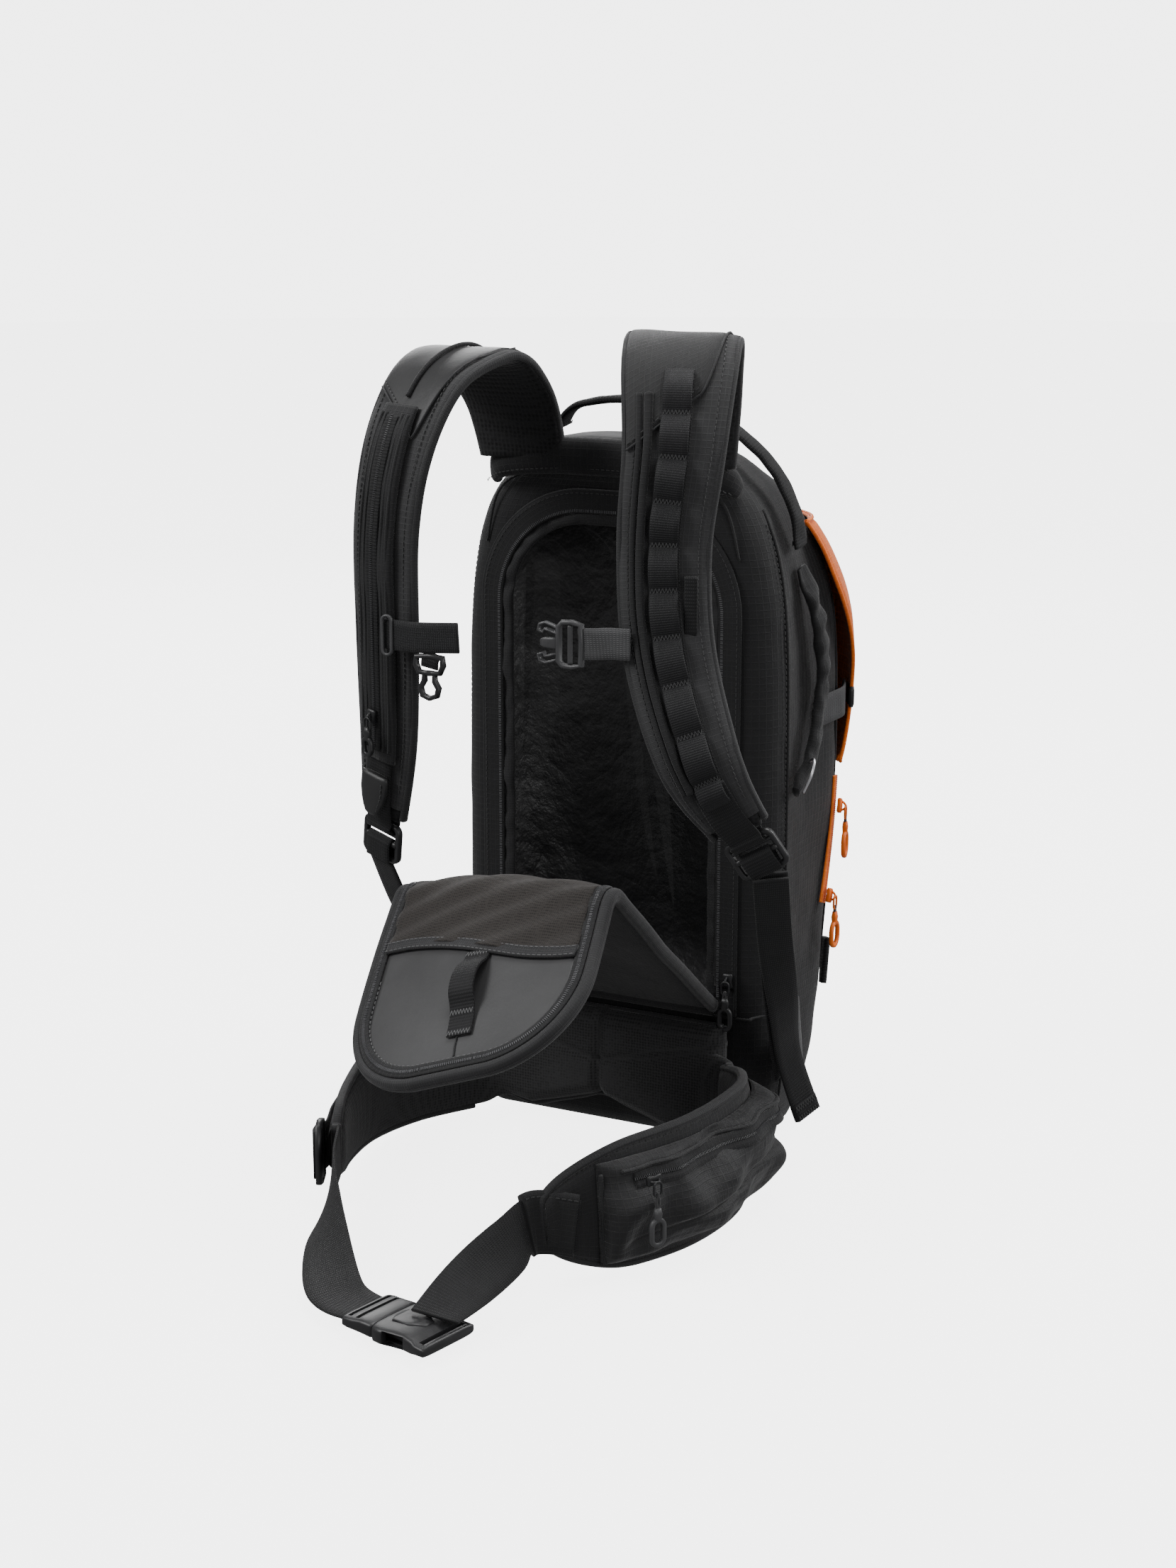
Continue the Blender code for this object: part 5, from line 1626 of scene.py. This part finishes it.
def build_waist_webbing():
    """The webbing from each wing to the buckle, a sleeve on the right one, and the left one's adjuster."""
    left_end = BUCKLE_AT - AHEAD * 0.0305
    before = left_end - AHEAD * 0.030 + ACROSS * 0.005 + Vector((0, 0, 0.003))
    points = [
        at(-0.112, -0.2120, 0.038), at(-0.1035, -0.2285, 0.038), at(-0.088, -0.262, 0.032),
        at(-0.058, -0.318, 0.023), before, left_end + AHEAD * 0.003,
    ]
    sides = [UP, UP, (0.1, 0.1, 1), (0.5, 0.5, 0.7), (0.6, 0.8, 0.2), ACROSS]
    left = Route(points, sides, 0.038)
    webbing("waist_web_left", left, 0.038, 0.0019, BLACK_WEB, steps=90, slot="black_webbing",
            replaces=("waist_webbing_left",))
    right_end = BUCKLE_AT + AHEAD * 0.030 + ACROSS * 0.004 + Vector((0, 0, 0.0105))
    points = [RIGHT_WING.place(0.90, -0.1, -0.010), at(0.0855, -0.2845, 0.044), at(0.084, -0.315, 0.039),
              at(0.079, -0.350, 0.031), right_end]
    sides = [UP, (-0.1, 0, 1), (-0.5, 0, 0.85), (-0.8, 0.1, 0.55), -AHEAD]
    right = Route(points, sides, 0.038)
    webbing("waist_web_right", right, 0.038, 0.0019, BLACK_WEB, "belt_right", steps=90, slot="black_webbing",
            replaces=("waist_webbing_right",))
    webbing("waist_web_sleeve", right, 0.046, 0.0052, DARK_FABRIC, "belt_right", span=(0.02, 0.30), steps=24,
            slot="strap_fabric")
    stitches(
        "waist_sleeve_stitch", right, (0.04, 0.28), THREAD, "belt_right", -0.0028, 0.019,
        slot="strap_fabric",
    )
    adjuster = at(-0.110, -0.2245, 0.038) + Vector((-0.0085, -0.004, 0))
    turn = Matrix.Rotation(math.radians(24), 3, "Z")
    thick_way, long_way = turn @ Vector((1, 0, 0)), turn @ Vector((0, 1, 0))
    ring = [
        adjuster + long_way * y + UP * z
        for y, z in (
            (-0.009, -0.021), (0, -0.0225), (0.009, -0.021), (0.0095, 0), (0.009, 0.021), (0, 0.0225),
            (-0.009, 0.021), (-0.0095, 0),
        )
    ]
    hoop(
        "adjuster_frame", ring, -thick_way, 0.0042, 0.0050, PLASTIC, slot="black_plastic",
        replaces=("waist_adjuster",),
    )
    wing_face = WING_THICK / 2 + 0.0022
    tab = [
        LEFT_WING.place(0.66, 0, wing_face), LEFT_WING.place(0.80, 0, wing_face),
        LEFT_WING.place(0.92, 0, wing_face), adjuster + long_way * 0.006 - thick_way * 0.001,
        adjuster + long_way * 0.001 - thick_way * 0.0036,
    ]
    webbing(
        "adjuster_tab", Route(tab, [UP] * 5, 0.036), 0.036, 0.0019, BLACK_WEB, steps=30,
        slot="black_webbing",
    )
    bar = [adjuster + UP * z for z in (-0.020, 0, 0.020)]
    pipe("adjuster_bar", bar, 0.0023, PLASTIC, normals=[-thick_way] * 3, slot="black_plastic", steps=12)
    wrap = [adjuster - long_way * 0.009 - thick_way * 0.0030, adjuster - thick_way * 0.0042,
            adjuster + long_way * 0.009 - thick_way * 0.0030]
    webbing(
        "adjuster_web", Route(wrap, [UP] * 3, 0.038), 0.036, 0.0019, BLACK_WEB, steps=14,
        slot="black_webbing",
    )


EDGE_BREAK = 0.0004  # the bevel on the buckle's moulded edges


def box_cutter(name, boxes):
    """Boxes to cut the buckle with: each is how far ahead, how far across, and its size."""
    turn = Matrix((AHEAD, ACROSS, UP)).transposed().to_4x4()
    bm = bmesh.new()
    for far, across, size in boxes:
        place = Matrix.Translation(BUCKLE_AT + AHEAD * far + ACROSS * across)
        bmesh.ops.create_cube(bm, size=1.0, matrix=place @ turn @ Matrix.Diagonal((*size, 1)))
    return mesh_from(bm, name)


def build_buckle():
    """The waist buckle: a hollow socket on the right webbing, and a nose with two prongs on the left one."""
    axes = (AHEAD, ACROSS, UP)
    female = (
        (0.0000, 0.0455, 0.0118, 0), (0.0020, 0.0490, 0.0128, 0), (0.0080, 0.0500, 0.0130, 0),
        (0.0180, 0.0470, 0.0130, 0.0004), (0.0260, 0.0450, 0.0128, 0.0004), (0.0340, 0.0465, 0.0118, 0),
        (0.0380, 0.0490, 0.0085, 0), (0.0450, 0.0495, 0.0075, 0), (0.0460, 0.0470, 0.0050, 0),
    )
    socket = solid_block("buckle_socket", female, axes, BUCKLE_AT, PLASTIC, "belt_right", 40, 5.0,
                         slot="black_plastic", replaces=("buckle_female",))
    windows = ((0.016, 0.0, (0.034, 0.040, 0.0080)), (0.0185, 0.0235, (0.017, 0.012, 0.0094)),
               (0.0185, -0.0235, (0.017, 0.012, 0.0094)), (0.0405, 0.0, (0.0040, 0.039, 0.020)))
    cut_out(socket, box_cutter("socket_cutter", windows), True, EDGE_BREAK)
    ridge = ((0.004, 0.010, 0.0016, 0.0066), (0.007, 0.022, 0.0022, 0.0066), (0.020, 0.020, 0.0022, 0.0068),
             (0.030, 0.008, 0.0016, 0.0064))
    solid_block("buckle_ridge", ridge, axes, BUCKLE_AT, PLASTIC, "belt_right", slot="black_plastic")

    male = ((-0.0275, 0.0430, 0.0050, 0), (-0.0265, 0.0455, 0.0075, 0), (-0.0225, 0.0460, 0.0090, 0),
            (-0.0180, 0.0455, 0.0095, 0), (-0.0120, 0.0440, 0.0112, 0), (-0.0030, 0.0450, 0.0118, 0),
            (-0.0012, 0.0435, 0.0108, 0))
    base = solid_block("buckle_nose", male, axes, BUCKLE_AT, PLASTIC, "root", 40, 5.0, slot="black_plastic",
                       replaces=("buckle_male",))
    slots = [(far, 0.0, (0.0032, 0.0385, 0.02)) for far in (-0.0160, -0.0230)]
    cut_out(base, box_cutter("slot_cutter", slots), False, EDGE_BREAK)
    for name, sign in (("left", -1), ("right", 1)):
        stations = [(0.0002 + 0.0255 * i / 8, 0.0058 - 0.0014 * (i / 8) ** 2, 0.0050, 0) for i in range(9)]
        origin = BUCKLE_AT + ACROSS * sign * 0.014
        solid_block(
            "prong_" + name, stations, axes, origin, PLASTIC, "prong_" + name, 20, 4.0,
            slot="black_plastic", replaces=("buckle_prong_" + name,),
        )


def build_wing_root(name, sign, blend):
    """The padded mesh that carries a wing on from under the lumbar pad."""
    places = (
        (0.072, -0.0125, 0.049), (0.094, -0.0165, 0.048), (0.110, -0.0225, 0.045), (0.117, -0.0340, 0.045),
    )
    widths = (0.062, 0.070, 0.079, 0.080) if sign < 0 else (0.060, 0.064, 0.067, 0.070)
    route = Route([at(x * sign, y, z) for x, y, z in places], [UP] * 4, widths)
    wing_root = swept(
        name, route, lambda t: pad_section(route.width(t), WING_THICK * 1.06, 40, 2.9), LUMBAR_MESH,
        slot="strap_fabric", blend=blend,
    )


def build_belt():
    """The hip belt: wings, pocket, lumbar pad, webbing and buckle."""
    build_wing("wing_right", RIGHT_WING, "belt_right", "hip_wing_right", 0.74, 0.30, -1)
    build_wing("wing_left", LEFT_WING, "root", "hip_wing_left", 0.85, 0.75, 1)
    build_wing_root("wing_root_left", -1, None)
    build_wing_root(
        "wing_root_right", 1, ("root", "belt_right", at(0.098, -0.018, 0.046), at(0.116, -0.034, 0.045)),
    )
    build_hip_pocket()
    build_lumbar_pad()
    build_waist_webbing()
    build_buckle()


# The bag's outer side


def outer_arc(height, grow, steps=12):
    """Points round the bag's outer face at a height, from its right side to its left."""
    _, half, _, far, _, radius = bag_level(height)
    centre_x, centre_y = half - radius, far - radius
    reach = radius + grow
    rise = min(max((height - 0.320) / 0.120, 0.0), 1.0)
    start = 24.0 - 22.0 * rise * rise * (3 - 2 * rise)
    angles = [math.radians(start + (90 - start) * i / steps) for i in range(steps + 1)]
    right = [(centre_x + reach * math.cos(a), centre_y + reach * math.sin(a)) for a in angles]
    flat = [(centre_x * (1 - i / 6), centre_y + reach) for i in range(1, 12)]
    left = [(-x, y) for x, y in right[::-1]]
    return [at(x, y, height) for x, y in right + flat + left]


ORANGE_LOW = 0.275
ORANGE_TALL = 0.196


def orange_puff(u):
    """How far the orange panel swells at a share u of its height."""
    return 0.0085 * math.sin(math.pi * u) ** 0.8


def build_outer_panel():
    """The orange panel round the bag's outer face, with its seams and a row of stitches."""
    rows = []
    for i in range(71):
        height = ORANGE_LOW + ORANGE_TALL * i / 70
        edge = min((height - ORANGE_LOW) / 0.006, (ORANGE_LOW + ORANGE_TALL - height) / 0.006, 1.0)
        row = []
        for p in outer_arc(height, 0.0032 + 0.0022 * edge + orange_puff(i / 70)):
            push = ripple(p, 16, 0.0018, 51) * edge
            row.append(p + Vector((p.x * 4, 1, 0)).normalized() * push)
        rows.append(row)
    panel = put(
        "orange_panel", loft("orange_panel", rows, closed=False), ORANGE_FABRIC, slot="orange_fabric",
        replaces=("outer_panel",),
    )
    thicken(panel, 0.0022)
    for name, height in (("low", 0.2755), ("high", 0.4705)):
        points = outer_arc(height, 0.0050)
        normals = [Vector((p.x * 4, 1, 0)).normalized() for p in points]
        pipe(
            "orange_seam_" + name, points, 0.0015, ORANGE_FABRIC, normals=normals, slot="orange_fabric",
            steps=120, count=8,
        )
    for k, pick in enumerate((0, -1)):
        points = [outer_arc(0.276 + 0.1945 * i / 20, 0.0045 + orange_puff(i / 20))[pick] for i in range(21)]
        normals = [Vector((1 if pick == 0 else -1, 0.4, 0)).normalized()] * 21
        pipe(
            f"orange_edge_{k}", points, 0.0016, ORANGE_FABRIC, normals=normals, slot="orange_fabric",
            steps=90, count=8,
        )
    points = []
    for i in range(1, 12):
        height = ORANGE_LOW + ORANGE_TALL * i / 12
        points.append(at(0, bag_level(height)[3] + 0.0062 + orange_puff(i / 12), height))
    middle = line_route(points, [-OUTWARD] * len(points))
    stitches(
        "orange_stitch", middle, (0.02, 0.98), ORANGE_TEETH, out=0.0004, shift=0.004, slot="orange_fabric",
    )


def build_side():
    """The bag's right side: the orange zip, a band and its hook, a sleeve, a keeper and a silver loop."""
    places = ((0.126, 0.268), (0.1215, 0.235), (0.112, 0.205), (0.101, 0.172))
    route = side_route(places, 0.0022, 0.010)
    webbing(
        "side_zip_tape", route, 0.010, 0.0024, ORANGE_FABRIC, steps=60, slot="orange_zip",
        replaces=("side_zip",),
    )
    zip_row("side_zip_teeth", route, (0.01, 0.99), 0.0018, ORANGE_TEETH, slot="orange_zip")
    zip_pull("side_zip_low", ORANGE_PLASTIC, 0.019, 0.0135, ORANGE_PLASTIC, 0.006)
    zip_pull("side_zip_high", ORANGE_PLASTIC, 0.019, 0.0135, ORANGE_PLASTIC, 0.006)

    stops = ((0.088, 0.0045), (0.108, 0.0055), (0.128, 0.0065), (0.152, 0.007))
    points = [bag_side(y, 0.327, out)[0] for y, out in stops]
    band = Route(points, [UP] * 4, 0.024)
    webbing(
        "side_band_web", band, 0.024, 0.0022, BAND_WEB, steps=40, slot="grey_webbing",
        replaces=("side_band",),
    )
    stitches(
        "side_band_stitch", band, (0.05, 0.95), PALE_THREAD, out=-0.0014, shift=0.009, slot="grey_webbing",
    )
    hook = Route([bag_side(y, 0.327, 0.0115)[0] for y in (0.140, 0.146, 0.152, 0.157)], [UP] * 4, 0.016)
    swept(
        "side_hook", hook, lambda t: pad_section(0.0165, 0.0042 + 0.0012 * math.sin(math.pi * t), 20, 4),
        PLASTIC, steps=20, slot="black_plastic", replaces=("side_band_hook",),
    )

    places = ((0.062, 0.440, 0.003), (0.070, 0.410, 0.008), (0.076, 0.370, 0.0095), (0.073, 0.335, 0.0095),
              (0.060, 0.300, 0.008), (0.036, 0.275, 0.004))
    points = [bag_side(y, z, out)[0] for y, z, out in places]
    tube = line_route(points, [bag_side(y, z)[1] for y, z, _ in places], 0.017)

    def sleeve(t):
        end = min(t / 0.08, (1 - t) / 0.08, 1)
        return pad_section(0.0175 * (0.7 + 0.3 * end), 0.0085 * (0.5 + 0.5 * end), 20, 2.4)

    swept("side_sleeve", tube, sleeve, DARK_FABRIC, steps=140, slot="strap_fabric", replaces=("side_tube",),
          wave=lambda p: ripple(p, 75, 0.0036, 61) + ripple(p, 30, 0.0030, 62))
    keeper = side_route(((0.128, 0.135), (0.124, 0.118), (0.119, 0.100)), 0.0045, 0.022)
    webbing("side_keeper", keeper, 0.022, 0.0040, BLACK_WEB, steps=16, slot="black_webbing",
            replaces=("webbing_keeper",))
    places = ((0.050, 0.292, 0.006), (0.044, 0.300, 0.016), (0.036, 0.291, 0.018), (0.034, 0.276, 0.012))
    loop = [bag_side(y, z, out)[0] for y, z, out in places]
    pipe("silver_loop", loop, 0.0011, SILVER, normals=[Vector((1, 0, 0))] * 4, slot="grey_webbing", steps=30)


def build_handle():
    """The haul handle, from the bag's top over to its right side."""
    places = (
        (-0.060, 0.040, 0.5380), (-0.046, 0.037, 0.553), (-0.010, 0.036, 0.560), (0.035, 0.037, 0.558),
        (0.078, 0.043, 0.542), (0.109, 0.050, 0.514), (0.124, 0.056, 0.482), (0.1275, 0.060, 0.456),
    )
    route = Route([at(*p) for p in places], [(0, 1, 0)] * len(places), 0.020)

    def section(t):
        middle = math.sin(math.pi * t)
        return pad_section(0.020 - 0.004 * middle, 0.0046 + 0.0020 * middle, 20, 2.6)

    swept(
        "handle_web", route, section, BLACK_WEB, "handle", steps=100,
        wave=lambda p: ripple(p, 70, 0.0010, 71), slot="black_webbing", replaces=("haul_handle",),
    )
    for k, t in enumerate((0.03, 0.97)):
        point, side, out, along = route.frame(t)
        bar_tack(f"handle_tack_{k}", point - out * 0.0030, side, along, -out, 0.016, THREAD, "handle")


def build_inside():
    """The airbag's roll in its CAD piece's space; the fan, battery and stays keep theirs, in new finishes."""
    low, high = (Vector(v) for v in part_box("airbag_folded"))
    size = high - low
    centre = (low + high) / 2
    rows = []
    for i in range(31):
        x = low.x + size.x * i / 30
        ring = []
        ends = min(i / 3, (30 - i) / 3, 1.0)
        for a, b in pad_section(size.y, size.z, 40, 3.2):
            shrink = 0.55 + 0.45 * math.sqrt(max(1 - (1 - ends) ** 2, 0))
            fold = 1 - 0.035 * (1 + math.sin(b * 420))
            ring.append(Vector((x, centre.y + a * shrink * fold, centre.z + b * shrink * 0.98)))
        rows.append(ring)
    bag = put(
        "airbag_roll", loft("airbag_roll", rows), AIRBAG, slot="airbag_nylon", replaces=("airbag_folded",),
    )
    finishes = {"stay_left": STEEL, "stay_right": STEEL, "fan_housing": PLASTIC, "fan_motor": STEEL,
                "impeller": FAN_PLASTIC, "battery_pack": GREY_PLASTIC}
    for node, material in finishes.items():
        data = frame["nodes"][node].data
        data.materials.clear()
        data.materials.append(material)


def build_pulls():
    """The three black zip pulls; the orange ones are built with the side zip."""
    zip_pull("main_zip", PLASTIC, 0.016, 0.0085, PLASTIC, 0.006)
    zip_pull("strap_zip", PLASTIC, 0.012, 0.0078, PLASTIC)
    zip_pull("hip_pocket", PLASTIC, 0.018, 0.0098, GREY_PLASTIC, 0.012)


def build_gusset():
    """The strip of fabric that joins the panel's foot to the bag."""
    rows = []
    for i in range(13):
        row = []
        for k in range(33):
            x = -0.092 + 0.184 * k / 32
            point = at(x, -0.0010, 0.104).lerp(panel_point(x, 0.006, 0.0035), i / 12)
            point.z -= 0.004 * math.sin(math.pi * i / 12)
            row.append(point)
        rows.append(row)
    gusset = linked("panel_gusset", loft("panel_gusset", rows, closed=False))
    gusset.data.materials.append(DARK_FABRIC)
    thicken(gusset, 0.0012)
    panel_point(0, 0.006, 0.0035)
    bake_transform(gusset)


# Floor, light and camera

FLOOR_GLOW = 4.3
BACKDROP_GLOW = 4.6


def stage_piece(name, mesh, glow, paper):
    """A piece of the studio: a bright, even ground for the camera, that throws no light on the object."""
    obj = linked(name, mesh)
    material, _, shader = shader_of(name + "_paper", (paper, paper, paper), 0.9, specular=0.0)
    shader.inputs["Emission Color"].default_value = (1, 1, 1, 1)
    shader.inputs["Emission Strength"].default_value = glow
    mesh.materials.append(material)
    obj.visible_diffuse = False
    obj.visible_glossy = False
    obj.visible_transmission = False
    obj.visible_shadow = False
    return obj


def build_studio():
    """A floor just under the object, a backdrop all round, an even world and five soft lamps."""
    bm = bmesh.new()
    bmesh.ops.create_circle(bm, cap_ends=True, segments=64, radius=9)
    floor = stage_piece("studio_floor", mesh_from(bm, "studio_floor"), FLOOR_GLOW, 0.4)
    floor.location = (0, 0, -0.0012)
    bm = bmesh.new()
    bmesh.ops.create_uvsphere(bm, u_segments=48, v_segments=24, radius=9.2)
    bmesh.ops.reverse_faces(bm, faces=bm.faces[:])
    stage_piece("studio_backdrop", mesh_from(bm, "studio_backdrop"), BACKDROP_GLOW, 0.0)

    world = bpy.data.worlds.new("studio")
    bpy.context.scene.world = world
    world.use_nodes = True
    background = world.node_tree.nodes["Background"]
    background.inputs["Color"].default_value = (0.90, 0.90, 0.91, 1)
    background.inputs["Strength"].default_value = 0.34
    lights = (  # name, place, power and size
        ("key", (-1.6, -1.7, 2.2), 62, 1.2),
        ("fill", (2.2, -1.6, 1.0), 20, 1.2),
        ("top", (0.2, 0.3, 2.6), 46, 1.2),
        ("rim", (1.8, 1.3, 1.5), 34, 0.9),
        ("back", (-1.4, 1.8, 1.4), 30, 1.2),
    )
    for name, place, power, size in lights:
        data = bpy.data.lights.new(name, "AREA")
        data.energy = power
        data.size = size
        lamp = linked(name, data)
        lamp.location = place
        lamp.rotation_euler = (Vector((0, 0, 0.25)) - Vector(place)).to_track_quat("-Z", "Y").to_euler()
        lamp.visible_camera = False


def build_camera():
    """The camera, out from the right of the back and a little above it."""
    azimuth, elevation, distance = math.radians(27), math.radians(14), 2.0
    target = at(-0.018, 0, 0.272)
    back = Vector(
        (
            math.sin(azimuth) * math.cos(elevation), -math.cos(azimuth) * math.cos(elevation),
            math.sin(elevation),
        )
    )
    data = bpy.data.cameras.new("camera")
    data.lens = 60.5
    data.sensor_width = 36
    camera = linked("camera", data)
    camera.location = target + back * distance
    camera.rotation_euler = (-back).to_track_quat("-Z", "Y").to_euler()
    bpy.context.scene.camera = camera


build_camera()
build_studio()
build_bag()
build_opening()
build_panel()
build_gusset()
build_straps()
build_chest_strap()
build_lower_webbing()
build_belt()
build_outer_panel()
build_side()
build_handle()
build_pulls()
build_inside()
